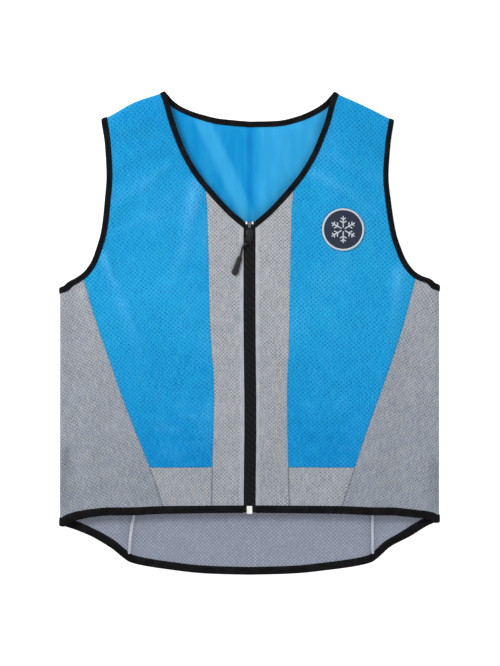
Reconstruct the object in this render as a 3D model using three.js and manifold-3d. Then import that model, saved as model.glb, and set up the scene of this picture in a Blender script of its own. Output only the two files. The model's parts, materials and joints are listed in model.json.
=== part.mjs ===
// A sleeveless zip-front cooling vest, lying on its back with the front up.
// X runs across the vest to the wearer's left, Y from hem to neck, Z up through the front. Millimetres.
import * as THREE from "three";
import Module from "manifold-3d";
import { mergeVertices } from "three/addons/utils/BufferGeometryUtils.js";

const wasm = await Module();
wasm.setup();

// Widths and lengths of the body. "Down" is measured from the highest point, where neck and shoulder meet.
const CHEST_WIDTH = 547;
const SHOULDER_SPAN = 420;
const SHOULDER_DROP = 41;
const NECK_SPAN = 244;
const BACK_NECK_DOWN = 43;
const ZIP_TOP_DOWN = 186;
const ARMHOLE_DOWN = 284;
const PANEL_SEAM_DOWN = 543;
const FRONT_LENGTH = 608;
const SIDE_LENGTH = 624;
const TAIL_CORNER_DOWN = 677;
const BACK_LENGTH = 696;

// Where the seams lie across the front and the back.
const STRIP_TOP_DOWN = 129;
const STRIP_WIDTH = 54;
const SIDE_SEAM_TOP_SHARE = 0.91;
const SIDE_SEAM_HEM_ACROSS = 126;
const BACK_SEAM_TOP_SHARE = 0.87;
const SHOULDER_SEAM_BACK = 14;
const TAIL_CORNER_ACROSS = 177;

// Cloth walls, the space between the layers and the seams.
const CHEST_WALL = 1.6;
const MESH_WALL = 1.3;
const LAYER_SPACING = 12;
const CROWN_HEIGHT = 11;
const CROWN_REACH = 130;
const BACK_ARMHOLE_INSET = 2.5;
const SEAM_GAP = 0.4;
const CLEARANCE = 0.3;
const SEAM_RIDGE_WIDTH = 4;
const SEAM_RIDGE_WALL = 1;

// The folded tape round the edges.
const BINDING_WIDTH = 9;
const HEM_BINDING_WIDTH = 10.5;
const BINDING_WALL = 0.7;
const LIFT_REACH = 25;

// The zip and its pull.
const ZIP_WIDTH = 16;
const ZIP_TAPE_WALL = 1;
const ZIP_TAPE_SINK = 0.4;
const ZIP_TAPE_TOP_GAP = 1.6;
const COIL_WIDTH = 5.6;
const COIL_WALL = 1.5;
const STOP_SIZE = { width: 2.6, length: 4, height: 1.5 };
const BOX_SIZE = { width: 8, length: 11.5, height: 1.8 };
const SLIDER_LENGTH = 17;
const SLIDER_WIDTH = 10;
const SLIDER_NOSE_WIDTH = 7;
const SLIDER_HEIGHT = 2.2;
const SLIDER_CENTRE_DOWN = 206.5;
const BRIDGE_WIDTH = 2.2;
const BRIDGE_LENGTH = 12;
const BRIDGE_WALL = 1.2;
const PIVOT_DOWN = 207;
const PIVOT_RADIUS = 0.8;
const PULL_LEAN = THREE.MathUtils.degToRad(19);
const PULL_EYE_WIDTH = 8;
const PULL_EYE_LENGTH = 9;
const PULL_LENGTH = 61;
const LINK_WIDTH = 3.4;
const LINK_HEIGHT = 1.6;
const GRIP_LENGTH = 28;
const GRIP_TOP_WIDTH = 7;
const GRIP_END_WIDTH = 10;
const GRIP_HEIGHT = 4;
const GRIP_SOCKET_DEPTH = 5;

// The plain patch on the wearer's left chest.
const BADGE_ACROSS = 135;
const BADGE_DOWN = 198;
const BADGE_RADIUS = 31;
const BADGE_WALL = 1.2;

// Neckline at the front: shares of the drop to the zip, and of the way in to the zip.
const NECKLINE = [
  { down: 0, across: 0 },
  { down: 0.066, across: 0.038 },
  { down: 0.222, across: 0.108 },
  { down: 0.346, across: 0.184 },
  { down: 0.455, across: 0.259 },
  { down: 0.611, across: 0.405 },
  { down: 0.767, across: 0.608 },
  { down: 0.922, across: 0.848 },
  { down: 1, across: 1 },
];

// Neckline at the back: shares of the way out to the neck point, and of the back neck's drop.
const BACK_NECKLINE = [
  { across: 0, down: 1 },
  { across: 0.34, down: 0.95 },
  { across: 0.57, down: 0.8 },
  { across: 0.8, down: 0.51 },
  { across: 0.92, down: 0.26 },
  { across: 1, down: 0 },
];

// Armhole: shares of the drop from shoulder tip to foot, and of the way out from the tip to the foot.
const ARMHOLE = [
  { down: 0, across: 0 },
  { down: 0.146, across: -0.084 },
  { down: 0.328, across: -0.129 },
  { down: 0.478, across: -0.076 },
  { down: 0.657, across: 0.025 },
  { down: 0.776, across: 0.177 },
  { down: 0.836, across: 0.291 },
  { down: 0.896, across: 0.481 },
  { down: 0.931, across: 0.671 },
  { down: 0.961, across: 0.861 },
  { down: 1, across: 1 },
];

// Seam beside the front strip: share of its drop to the hem, and of the strip's width.
const STRIP_SEAM = [
  { down: 0.08, across: 1.13 },
  { down: 0.25, across: 1.09 },
  { down: 0.45, across: 1.06 },
  { down: 0.65, across: 1 },
  { down: 0.85, across: 1 },
  { down: 1, across: 1.02 },
];

// Slanting seam between chest and side: shares of its drop to the hem, and of the way in to its foot.
const SIDE_SEAM = [
  { down: 0, across: 0 },
  { down: 0.2, across: 0.161 },
  { down: 0.45, across: 0.41 },
  { down: 0.7, across: 0.69 },
  { down: 1, across: 1 },
];

// Seam between back and side: shares of its drop to the tail's corner, and of the way in to it.
const BACK_SEAM = [
  { down: 0, across: 0 },
  { down: 0.3, across: 0.45 },
  { down: 0.6, across: 0.85 },
  { down: 0.84, across: 1.04 },
  { down: 1, across: 1 },
];

// Front hem: shares of the way out to the side fold, and of the drop from its middle to its side.
const FRONT_HEM = [
  { across: 0, drop: 0 },
  { across: 0.47, drop: 0.04 },
  { across: 0.66, drop: 0.18 },
  { across: 0.84, drop: 0.32 },
  { across: 0.9, drop: 0.47 },
  { across: 0.95, drop: 0.78 },
  { across: 1, drop: 1 },
];

// Back hem outside the tail's corner: shares of the way in from the fold, and of the drop to the corner.
const SIDE_HEM = [
  { across: 0, drop: 0 },
  { across: 0.14, drop: 0.07 },
  { across: 0.29, drop: 0.18 },
  { across: 0.59, drop: 0.46 },
  { across: 0.74, drop: 0.62 },
  { across: 0.89, drop: 0.85 },
  { across: 1, drop: 1 },
];

// Tail hem: shares of the way out to the tail's corner, and of the drop from the corner to the middle.
const TAIL_HEM = [
  { across: 0, drop: 1 },
  { across: 0.24, drop: 0.95 },
  { across: 0.41, drop: 0.87 },
  { across: 0.65, drop: 0.62 },
  { across: 0.82, drop: 0.4 },
  { across: 0.94, drop: 0.18 },
  { across: 1, drop: 0 },
];

// Soft folds of the front: from and to as shares of the half chest and of the front's length,
// width as a share of the chest's width and height as a share of the crown.
const SOFT_FOLDS = [
  { fromX: -0.74, fromDown: 0.36, toX: -0.62, toDown: 0.58, width: 0.03, height: 0.2 },
  { fromX: -0.9, fromDown: 0.52, toX: -0.84, toDown: 0.98, width: 0.028, height: 0.22 },
  { fromX: -0.6, fromDown: 0.16, toX: -0.36, toDown: 0.5, width: 0.05, height: 0.16 },
  { fromX: -0.3, fromDown: 0.62, toX: -0.4, toDown: 0.97, width: 0.035, height: 0.16 },
  { fromX: 0.3, fromDown: 0.55, toX: 0.46, toDown: 0.95, width: 0.04, height: 0.18 },
  { fromX: 0.56, fromDown: 0.14, toX: 0.34, toDown: 0.44, width: 0.045, height: 0.14 },
  { fromX: 0.76, fromDown: 0.42, toX: 0.72, toDown: 0.66, width: 0.03, height: 0.22 },
  { fromX: 0.9, fromDown: 0.6, toX: 0.86, toDown: 0.98, width: 0.028, height: 0.2 },
];

const COLOURS = {
  chest: { color: 0x2598d8, roughness: 0.8, metalness: 0 },
  mesh: { color: 0x989ea8, roughness: 0.85, metalness: 0 },
  binding: { color: 0x1c1c1f, roughness: 0.8, metalness: 0 },
  zip: { color: 0x1e1e20, roughness: 0.7, metalness: 0 },
  metal: { color: 0xd8d8d6, roughness: 0.35, metalness: 0.9 },
  pull: { color: 0x323338, roughness: 0.6, metalness: 0 },
  badge: { color: 0x2b2f3c, roughness: 0.75, metalness: 0 },
};

const SIDES = [
  { name: "left", sign: 1 },
  { name: "right", sign: -1 },
];

const vest = new THREE.Group();

const mix = (a, b, share) => a + (b - a) * share;
const clamp = (value) => Math.min(1, Math.max(0, value));
const ease = (value) => clamp(value) ** 2 * (3 - 2 * clamp(value));
const spaced = (from, to, steps) =>
  Array.from({ length: steps + 1 }, (_, i) => mix(from, to, i / steps));
const range = (from, to) =>
  Array.from({ length: Math.abs(to - from) + 1 }, (_, i) => from + i * Math.sign(to - from));

// A smooth function through a table's rows, giving one column at any value of the other.
function through(rows, from, to) {
  const steps = rows.slice(1).map((row, i) => row[from] - rows[i][from]);
  const slopes = rows.slice(1).map((row, i) => (row[to] - rows[i][to]) / steps[i]);
  const tangents = rows.map((_, i) => {
    const before = slopes[Math.max(0, i - 1)];
    const after = slopes[Math.min(slopes.length - 1, i)];
    return before * after <= 0 ? 0 : (2 * before * after) / (before + after);
  });
  return (value) => {
    let k = rows.findIndex((row, i) => i > 0 && value <= row[from]) - 1;
    if (k < 0) k = value < rows[0][from] ? 0 : rows.length - 2;
    const t = clamp((value - rows[k][from]) / steps[k]);
    const a = rows[k][to];
    const b = rows[k + 1][to];
    return (
      a * (1 + 2 * t) * (1 - t) ** 2 +
      b * t * t * (3 - 2 * t) +
      steps[k] * t * (1 - t) * (tangents[k] * (1 - t) - tangents[k + 1] * t)
    );
  };
}

// Outline and seams, as the distance across at a distance down, or the other way round.
const foldRadius = LAYER_SPACING / 2;
const sideFold = CHEST_WIDTH / 2;
const foldStart = sideFold - foldRadius;
const zipEdge = ZIP_WIDTH / 2;
const neckPoint = { x: NECK_SPAN / 2, down: 0 };
const shoulderTip = { x: SHOULDER_SPAN / 2, down: SHOULDER_DROP };
const armholeShare = (down) => (down - SHOULDER_DROP) / (ARMHOLE_DOWN - SHOULDER_DROP);
const sideSeamTop = mix(SHOULDER_DROP, ARMHOLE_DOWN, SIDE_SEAM_TOP_SHARE);
const backSeamTop = mix(SHOULDER_DROP, ARMHOLE_DOWN, BACK_SEAM_TOP_SHARE);

const necklineCurve = through(NECKLINE, "down", "across");
const backNeckCurve = through(BACK_NECKLINE, "across", "down");
const armholeCurve = through(ARMHOLE, "down", "across");
const stripCurve = through(STRIP_SEAM, "down", "across");
const sideSeamCurve = through(SIDE_SEAM, "down", "across");
const backSeamCurve = through(BACK_SEAM, "down", "across");
const frontHemCurve = through(FRONT_HEM, "across", "drop");
const sideHemCurve = through(SIDE_HEM, "across", "drop");
const tailHemCurve = through(TAIL_HEM, "across", "drop");

const necklineX = (down) => mix(neckPoint.x, zipEdge, necklineCurve(down / ZIP_TOP_DOWN));
const backNeckDown = (x) => BACK_NECK_DOWN * backNeckCurve(x / neckPoint.x);
const armholeX = (down) => mix(shoulderTip.x, foldStart, armholeCurve(armholeShare(down)));
const backArmholeX = (down) =>
  armholeX(down) - BACK_ARMHOLE_INSET * Math.sin(Math.PI * clamp(armholeShare(down)));
const frontHemDown = (x) => mix(FRONT_LENGTH, SIDE_LENGTH, frontHemCurve(x / foldStart));

function stripSeamX(down) {
  const topX = necklineX(STRIP_TOP_DOWN);
  const share = (down - STRIP_TOP_DOWN) / (FRONT_LENGTH - STRIP_TOP_DOWN);
  const x = STRIP_WIDTH * stripCurve(Math.max(share, STRIP_SEAM[0].down));
  return mix(topX, x, clamp(share / STRIP_SEAM[0].down));
}

function sideSeamX(down) {
  const share = (down - sideSeamTop) / (frontHemDown(SIDE_SEAM_HEM_ACROSS) - sideSeamTop);
  return mix(armholeX(sideSeamTop), SIDE_SEAM_HEM_ACROSS, sideSeamCurve(share));
}

function backSeamX(down) {
  const share = (down - backSeamTop) / (TAIL_CORNER_DOWN - backSeamTop);
  return mix(backArmholeX(backSeamTop), TAIL_CORNER_ACROSS, backSeamCurve(share));
}

function backHemDown(x) {
  if (x > TAIL_CORNER_ACROSS) {
    const share = (foldStart - x) / (foldStart - TAIL_CORNER_ACROSS);
    return mix(SIDE_LENGTH, TAIL_CORNER_DOWN, sideHemCurve(share));
  }
  return mix(TAIL_CORNER_DOWN, BACK_LENGTH, tailHemCurve(x / TAIL_CORNER_ACROSS));
}

// Edges in plan, sampled for measuring how far a point lies inside them.
const OUTLINE_STEPS = 24;
const point = (x, down) => ({ x, down });
const sample = (from, to, place) => spaced(from, to, OUTLINE_STEPS).map(place);
const boundEdges = {
  front: [
    sample(0, ZIP_TOP_DOWN, (down) => point(necklineX(down), down)),
    sample(SHOULDER_DROP, ARMHOLE_DOWN, (down) => point(armholeX(down), down)),
    sample(0, foldStart, (x) => point(x, frontHemDown(x))),
  ],
  back: [
    sample(0, neckPoint.x, (x) => point(x, backNeckDown(x))),
    sample(SHOULDER_DROP, ARMHOLE_DOWN, (down) => point(backArmholeX(down), down)),
    sample(0, foldStart, (x) => point(x, backHemDown(x))),
  ],
};
const shoulderLine = [neckPoint, shoulderTip];
const sideLine = [point(sideFold, ARMHOLE_DOWN), point(sideFold, SIDE_LENGTH)];

function distanceToLine(x, down, line) {
  let nearest = Infinity;
  for (let i = 1; i < line.length; i += 1) {
    const [a, b] = [line[i - 1], line[i]];
    const [runX, runDown] = [b.x - a.x, b.down - a.down];
    const along = clamp(((x - a.x) * runX + (down - a.down) * runDown) / (runX ** 2 + runDown ** 2));
    nearest = Math.min(nearest, Math.hypot(x - a.x - runX * along, down - a.down - runDown * along));
  }
  return nearest;
}

const distanceToAll = (x, down, lines) =>
  Math.min(...lines.map((line) => distanceToLine(Math.abs(x), down, line)));

// How far a point lies from the fold that joins front and back, at the side or the shoulder.
function foldDistance(x, down) {
  const [dx, dy] = [shoulderTip.x - neckPoint.x, SHOULDER_DROP];
  const fromShoulder = ((down - neckPoint.down) * dx - (Math.abs(x) - neckPoint.x) * dy) / Math.hypot(dx, dy);
  return Math.max(0, Math.min(fromShoulder, sideFold - Math.abs(x)));
}

const roundOff = (distance) => Math.sqrt(1 - (1 - clamp(distance / foldRadius)) ** 2);

// The share of the way from one value to another at which a rising function reaches its goal.
function whereReached(goal, from, to, measure) {
  let [low, high] = [from, to];
  for (let i = 0; i < 40; i += 1) {
    const middle = (low + high) / 2;
    if (measure(middle) < goal) low = middle;
    else high = middle;
  }
  return (low + high) / 2;
}

function softFolds(x, down) {
  const line = (fold) => [
    point(fold.fromX * sideFold, fold.fromDown * FRONT_LENGTH),
    point(fold.toX * sideFold, fold.toDown * FRONT_LENGTH),
  ];
  const raise = (fold) => {
    const away = distanceToLine(x, down, line(fold)) / (fold.width * CHEST_WIDTH);
    return fold.height * CROWN_HEIGHT * Math.exp(-away * away);
  };
  return SOFT_FOLDS.reduce((sum, fold) => sum + raise(fold), 0);
}

// Heights of the middle of each layer's cloth over the surface that the vest lies on.
const slotHalf = CHEST_WALL / 2 + CLEARANCE;
const bindingHalf = slotHalf + BINDING_WALL;
const foldMiddle = bindingHalf + foldRadius;

function frontHeight(x, down) {
  const fromEdge = distanceToAll(x, down, [...boundEdges.front, shoulderLine, sideLine]);
  const settled = ease((2 * (fromEdge - 2 * BINDING_WIDTH)) / CROWN_REACH);
  const crown = CROWN_HEIGHT * ease(fromEdge / CROWN_REACH);
  const top = foldRadius + crown + settled * softFolds(x, down);
  return foldMiddle + top * roundOff(foldDistance(x, down));
}

function backHeight(x, down) {
  const fromEdge = distanceToAll(x, down, boundEdges.back);
  const resting = ease((fromEdge - HEM_BINDING_WIDTH) / LIFT_REACH);
  const bottom = foldRadius + (bindingHalf - MESH_WALL / 2) * resting;
  return foldMiddle - bottom * roundOff(foldDistance(x, down));
}

const layers = { front: frontHeight, back: backHeight };
const shift = BACK_LENGTH / 2;

function place(layer, side, plan, raise = 0) {
  const x = side.sign * plan.x;
  return new THREE.Vector3(x, shift - plan.down, layers[layer](x, plan.down) + raise);
}

// A patch in plan between four edges, each a function of a share from 0 to 1.
function coons(edges, columns, rows) {
  const { top, bottom, inner, outer } = edges;
  const corners = [inner(0), outer(0), inner(1), outer(1)];
  const blend = (key, t, v) =>
    mix(top(t)[key], bottom(t)[key], v) +
    mix(inner(v)[key], outer(v)[key], t) -
    mix(mix(corners[0][key], corners[1][key], t), mix(corners[2][key], corners[3][key], t), v);
  return rows.map((v) => columns.map((t) => point(blend("x", t, v), blend("down", t, v))));
}

// Moves the edges of a patch in plan inwards, so that sewn neighbours stay a seam gap apart.
function inset(grid, amounts) {
  const lastRow = grid.length - 1;
  const lastColumn = grid[0].length - 1;
  const toward = (from, to, amount) => {
    const share = amount / Math.hypot(to.x - from.x, to.down - from.down);
    return point(mix(from.x, to.x, share), mix(from.down, to.down, share));
  };
  const moved = grid.map((row) => row.map((p) => ({ ...p })));
  for (let j = 0; j <= lastColumn; j += 1) {
    if (amounts.top) moved[0][j] = toward(grid[0][j], grid[1][j], amounts.top);
    if (amounts.bottom) moved[lastRow][j] = toward(grid[lastRow][j], grid[lastRow - 1][j], amounts.bottom);
  }
  for (const row of moved) {
    if (amounts.inner) row[0] = toward(row[0], row[1], amounts.inner);
    if (amounts.outer) row[lastColumn] = toward(row[lastColumn], row[lastColumn - 1], amounts.outer);
  }
  return moved;
}

// The direction of a row of points at one of them, true to a curve at the row's ends too.
function direction(points, k) {
  const last = points.length - 1;
  if (last < 2) return points[last].clone().sub(points[0]);
  if (k > 0 && k < last) return points[k + 1].clone().sub(points[k - 1]);
  const [end, next, third] = k === 0 ? [0, 1, 2] : [last, last - 1, last - 2];
  const slope = points[next].clone().multiplyScalar(4).sub(points[third]).addScaledVector(points[end], -3);
  return k === 0 ? slope : slope.negate();
}

// Turns a grid of middle points into its normals, pointing out of the vest.
function gridNormals(grid, outward) {
  return grid.map((row, i) =>
    row.map((_, j) => {
      const across = direction(row, j);
      const down = direction(grid.map((other) => other[j]), i);
      return down.cross(across).multiplyScalar(outward).normalize();
    }),
  );
}

function signedVolume(positions, triangles) {
  const [a, b, c] = [new THREE.Vector3(), new THREE.Vector3(), new THREE.Vector3()];
  let volume = 0;
  for (let i = 0; i < triangles.length; i += 3) {
    a.fromArray(positions, 3 * triangles[i]);
    b.fromArray(positions, 3 * triangles[i + 1]);
    c.fromArray(positions, 3 * triangles[i + 2]);
    volume += a.dot(b.cross(c));
  }
  return volume;
}

function solidGeometry(points, triangles) {
  const positions = points.flatMap((p) => [p.x, p.y, p.z]);
  if (signedVolume(positions, triangles) < 0) triangles.reverse();
  const geometry = new THREE.BufferGeometry();
  geometry.setAttribute("position", new THREE.Float32BufferAttribute(positions, 3));
  geometry.setIndex(triangles);
  return geometry;
}

const quad = (a, b, c, d) => [a, b, c, a, c, d];

// A cloth wall of even thickness round a grid of middle points.
function clothSolid(grid, normals, wall) {
  const [rows, columns] = [grid.length, grid[0].length];
  const offset = (amount) =>
    grid.flatMap((row, i) => row.map((p, j) => p.clone().addScaledVector(normals[i][j], amount)));
  const points = [...offset(wall / 2), ...offset(-wall / 2)];
  const under = rows * columns;
  const at = (i, j) => i * columns + j;
  const triangles = [];
  for (let i = 1; i < rows; i += 1) {
    for (let j = 1; j < columns; j += 1) {
      const [a, b, c, d] = [at(i - 1, j - 1), at(i - 1, j), at(i, j), at(i, j - 1)];
      triangles.push(...quad(a, b, c, d), ...quad(under + d, under + c, under + b, under + a));
    }
  }
  const rim = [
    ...range(0, columns - 1).map((j) => at(0, j)),
    ...range(1, rows - 1).map((i) => at(i, columns - 1)),
    ...range(columns - 2, 0).map((j) => at(rows - 1, j)),
    ...range(rows - 2, 1).map((i) => at(i, 0)),
  ];
  rim.forEach((a, i) => {
    const b = rim[(i + 1) % rim.length];
    triangles.push(...quad(b, a, under + a, under + b));
  });
  return solidGeometry(points, triangles);
}

function addPiece(name, geometry, look) {
  const mesh = new THREE.Mesh(geometry, new THREE.MeshStandardMaterial(COLOURS[look]));
  mesh.name = name;
  vest.add(mesh);
}

function addCloth(name, plan, { layer, side, wall, look, outward, raise = 0 }) {
  const grid = plan.map((row) => row.map((p) => place(layer, side, p, raise)));
  const normals = gridNormals(grid, outward * side.sign);
  addPiece(name, clothSolid(grid, normals, wall), look);
  return { grid, normals };
}

// Rows that follow the rounding of a fold, as shares of its radius.
const FOLD_STEPS = 3;
const foldShares = spaced(0, Math.PI / 2, FOLD_STEPS).map((turn) => 1 - Math.cos(turn));
const shoulderSlope = Math.atan2(SHOULDER_DROP, shoulderTip.x - neckPoint.x);
const seamInset = SEAM_GAP / 2;

// Ends of the seam behind the shoulder, on the back neckline and the armhole.
const seamNeckX = whereReached(-SHOULDER_SEAM_BACK, 0, neckPoint.x, (x) => -foldDistance(x, backNeckDown(x)));
const seamNeck = point(seamNeckX, backNeckDown(seamNeckX));
const seamArmDown = whereReached(SHOULDER_SEAM_BACK, SHOULDER_DROP, ARMHOLE_DOWN / 2, (down) =>
  foldDistance(backArmholeX(down), down),
);
const seamArm = point(backArmholeX(seamArmDown), seamArmDown);

// Blue chest panels: over the shoulder from the seam behind it, then down the front.
const SEAM_ROWS = 2;
const CHEST_UPPER_STEPS = 4;
const CHEST_LOWER_STEPS = 7;
const HEM_STEPS = 3;
const foldEndShare = foldRadius / Math.cos(shoulderSlope) / sideSeamTop;
const stripTopShare = STRIP_TOP_DOWN / sideSeamTop;
const chestBackRows = [
  ...spaced(SHOULDER_SEAM_BACK, foldRadius, SEAM_ROWS),
  ...foldShares.slice(1, FOLD_STEPS).reverse().map((share) => share * foldRadius),
];
const chestFrontRows = [
  ...foldShares.map((share) => share * foldEndShare),
  ...spaced(foldEndShare, stripTopShare, CHEST_UPPER_STEPS).slice(1),
  ...spaced(stripTopShare, 1, CHEST_UPPER_STEPS).slice(1),
  ...spaced(1, 2, CHEST_LOWER_STEPS).slice(1),
];
const chestColumns = spaced(0, 1, 7);

function chestDown(row, from) {
  if (row <= 1) return mix(from, sideSeamTop, row);
  return mix(sideSeamTop, PANEL_SEAM_DOWN, row - 1);
}

function chestInner(row) {
  const down = chestDown(row, neckPoint.down);
  return point(row < stripTopShare ? necklineX(down) : stripSeamX(down), down);
}

function chestOuter(row) {
  const down = chestDown(row, SHOULDER_DROP);
  return point(row <= 1 ? armholeX(down) : sideSeamX(down), down);
}

const mixPoint = (a, b, share) => point(mix(a.x, b.x, share), mix(a.down, b.down, share));
const ruled = (inner, outer) => chestColumns.map((t) => mixPoint(inner, outer, t));

function chestGrid(side) {
  const back = chestBackRows.map((distance) => {
    const share = distance / SHOULDER_SEAM_BACK;
    return ruled(mixPoint(neckPoint, seamNeck, share), mixPoint(shoulderTip, seamArm, share));
  });
  const front = chestFrontRows.map((row) => ruled(chestInner(row), chestOuter(row)));
  const last = chestColumns.length - 1;
  chestFrontRows.forEach((row, i) => {
    if (row >= stripTopShare) front[i][0].x += seamInset;
    if (row >= 1) front[i][last].x -= seamInset;
  });
  return [
    ...inset(back, { top: seamInset }).map((row) => row.map((p) => place("back", side, p))),
    ...inset(front, { bottom: seamInset }).map((row) => row.map((p) => place("front", side, p))),
  ];
}

// Distances down a seam that meets the level seams: even steps above them and below.
function seamDown(step, top, bottom) {
  if (step <= CHEST_LOWER_STEPS) return mix(top, PANEL_SEAM_DOWN, step / CHEST_LOWER_STEPS);
  return mix(PANEL_SEAM_DOWN, bottom, (step - CHEST_LOWER_STEPS) / HEM_STEPS);
}

// Grey strips beside the zip.
const STRIP_ROWS = 17;
const STRIP_COLUMNS = 3;

function stripPlan() {
  const seamX = stripSeamX(FRONT_LENGTH);
  const edges = {
    top: (t) => {
      const down = mix(ZIP_TOP_DOWN, STRIP_TOP_DOWN, t);
      return point(necklineX(down), down);
    },
    bottom: (t) => point(mix(zipEdge, seamX, t), frontHemDown(mix(zipEdge, seamX, t))),
    inner: (v) => point(zipEdge, mix(ZIP_TOP_DOWN, FRONT_LENGTH, v)),
    outer: (v) => {
      const down = mix(STRIP_TOP_DOWN, frontHemDown(seamX), v);
      return point(stripSeamX(down), down);
    },
  };
  return inset(coons(edges, spaced(0, 1, STRIP_COLUMNS), spaced(0, 1, STRIP_ROWS)), { outer: seamInset });
}

// Grey panels under the blue ones.
function lowerPlan() {
  const innerX = stripSeamX(FRONT_LENGTH);
  const outerX = SIDE_SEAM_HEM_ACROSS;
  const edges = {
    top: (t) => point(mix(stripSeamX(PANEL_SEAM_DOWN), sideSeamX(PANEL_SEAM_DOWN), t), PANEL_SEAM_DOWN),
    bottom: (t) => point(mix(innerX, outerX, t), frontHemDown(mix(innerX, outerX, t))),
    inner: (v) => {
      const down = mix(PANEL_SEAM_DOWN, frontHemDown(innerX), v);
      return point(stripSeamX(down), down);
    },
    outer: (v) => {
      const down = mix(PANEL_SEAM_DOWN, frontHemDown(outerX), v);
      return point(sideSeamX(down), down);
    },
  };
  const grid = coons(edges, spaced(0, 1, 5), spaced(0, 1, HEM_STEPS));
  return inset(grid, { top: seamInset, inner: seamInset, outer: seamInset });
}

// Side panels: the front half, the round fold and the back half are one cloth.
const SIDE_STEPS = CHEST_LOWER_STEPS + HEM_STEPS;
const SIDE_COLUMNS = 6;
const sideRows = spaced(0, 1, SIDE_STEPS);

function sideFrontPlan() {
  const hemX = SIDE_SEAM_HEM_ACROSS;
  const edges = {
    top: (t) => {
      const down = mix(sideSeamTop, ARMHOLE_DOWN, t);
      return point(armholeX(down), down);
    },
    bottom: (t) => point(mix(hemX, foldStart, t), frontHemDown(mix(hemX, foldStart, t))),
    inner: (v) => {
      const down = seamDown(v * SIDE_STEPS, sideSeamTop, frontHemDown(hemX));
      return point(sideSeamX(down), down);
    },
    outer: (v) => point(foldStart, mix(ARMHOLE_DOWN, SIDE_LENGTH, v)),
  };
  return inset(coons(edges, spaced(0, 1, SIDE_COLUMNS), sideRows), { inner: seamInset });
}

function sideBackPlan() {
  const edges = {
    top: (t) => {
      const down = mix(backSeamTop, ARMHOLE_DOWN, t);
      return point(backArmholeX(down), down);
    },
    bottom: (t) => {
      const x = mix(TAIL_CORNER_ACROSS, foldStart, t);
      return point(x, backHemDown(x));
    },
    inner: (v) => {
      const down = seamDown(v * SIDE_STEPS, backSeamTop, TAIL_CORNER_DOWN);
      return point(backSeamX(down), down);
    },
    outer: (v) => point(foldStart, mix(ARMHOLE_DOWN, SIDE_LENGTH, v)),
  };
  return inset(coons(edges, spaced(0, 1, SIDE_COLUMNS), sideRows), { inner: seamInset });
}

function sidePanelGrid(side) {
  const [front, back] = [sideFrontPlan(), sideBackPlan()];
  const fold = foldShares.slice(0, FOLD_STEPS).reverse();
  return sideRows.map((v, i) => {
    const rounded = (share) => point(sideFold - foldRadius * share, mix(ARMHOLE_DOWN, SIDE_LENGTH, v));
    return [
      ...front[i].map((p) => place("front", side, p)),
      ...fold.map((share) => place("front", side, rounded(share))),
      ...fold.slice(0, -1).reverse().map((share) => place("back", side, rounded(share))),
      ...back[i].slice().reverse().map((p) => place("back", side, p)),
    ];
  });
}

// The back: blue above its level seam, grey below.
const BACK_UPPER_STEPS = 5;
const BACK_NECK_STEPS = 5;
const BACK_SHOULDER_STEPS = 3;
const backSteps = BACK_UPPER_STEPS + CHEST_LOWER_STEPS;
const backSeamRow = (backSeamTop - seamArm.down) / (PANEL_SEAM_DOWN - seamArm.down);
const backRows = [
  ...spaced(0, backSeamRow, BACK_UPPER_STEPS),
  ...spaced(backSeamRow, 1, CHEST_LOWER_STEPS).slice(1),
];
const NECK_COLUMN_SHARE = 0.55;
const backColumns = [
  ...spaced(0, NECK_COLUMN_SHARE, BACK_NECK_STEPS),
  ...spaced(NECK_COLUMN_SHARE, 1, BACK_SHOULDER_STEPS).slice(1),
];

function backPanelHalf() {
  const bottomX = backSeamX(PANEL_SEAM_DOWN);
  const edges = {
    top: (t) => {
      if (t <= NECK_COLUMN_SHARE) {
        const x = (seamNeck.x * t) / NECK_COLUMN_SHARE;
        return point(x, backNeckDown(x));
      }
      return mixPoint(seamNeck, seamArm, (t - NECK_COLUMN_SHARE) / (1 - NECK_COLUMN_SHARE));
    },
    bottom: (t) => point(bottomX * t, PANEL_SEAM_DOWN),
    inner: (v) => point(0, mix(BACK_NECK_DOWN, PANEL_SEAM_DOWN, v)),
    outer: (v) => {
      const down = mix(seamArm.down, PANEL_SEAM_DOWN, v);
      return point(v <= backSeamRow ? backArmholeX(down) : backSeamX(down), down);
    },
  };
  const plan = inset(coons(edges, backColumns, backRows), { bottom: seamInset });
  plan[0].forEach((p, j) => {
    if (j >= BACK_NECK_STEPS) p.down += seamInset / Math.cos(shoulderSlope);
  });
  for (const row of plan.slice(BACK_UPPER_STEPS)) row[row.length - 1].x -= seamInset;
  return plan;
}

function tailHalf() {
  const topX = backSeamX(PANEL_SEAM_DOWN);
  const edges = {
    top: (t) => point(topX * t, PANEL_SEAM_DOWN),
    bottom: (t) => point(TAIL_CORNER_ACROSS * t, backHemDown(TAIL_CORNER_ACROSS * t)),
    inner: (v) => point(0, mix(PANEL_SEAM_DOWN, BACK_LENGTH, v)),
    outer: (v) => {
      const down = mix(PANEL_SEAM_DOWN, TAIL_CORNER_DOWN, v);
      return point(backSeamX(down), down);
    },
  };
  const grid = coons(edges, spaced(0, 1, 7), spaced(0, 1, HEM_STEPS));
  return inset(grid, { top: seamInset, outer: seamInset });
}

// Joins a half in plan with its mirror, from the wearer's right to left.
function bothHalves(half) {
  const mirrored = (row) => row.slice(1).reverse().map((p) => point(-p.x, p.down));
  return half.map((row) => [...mirrored(row), ...row]);
}

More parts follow.
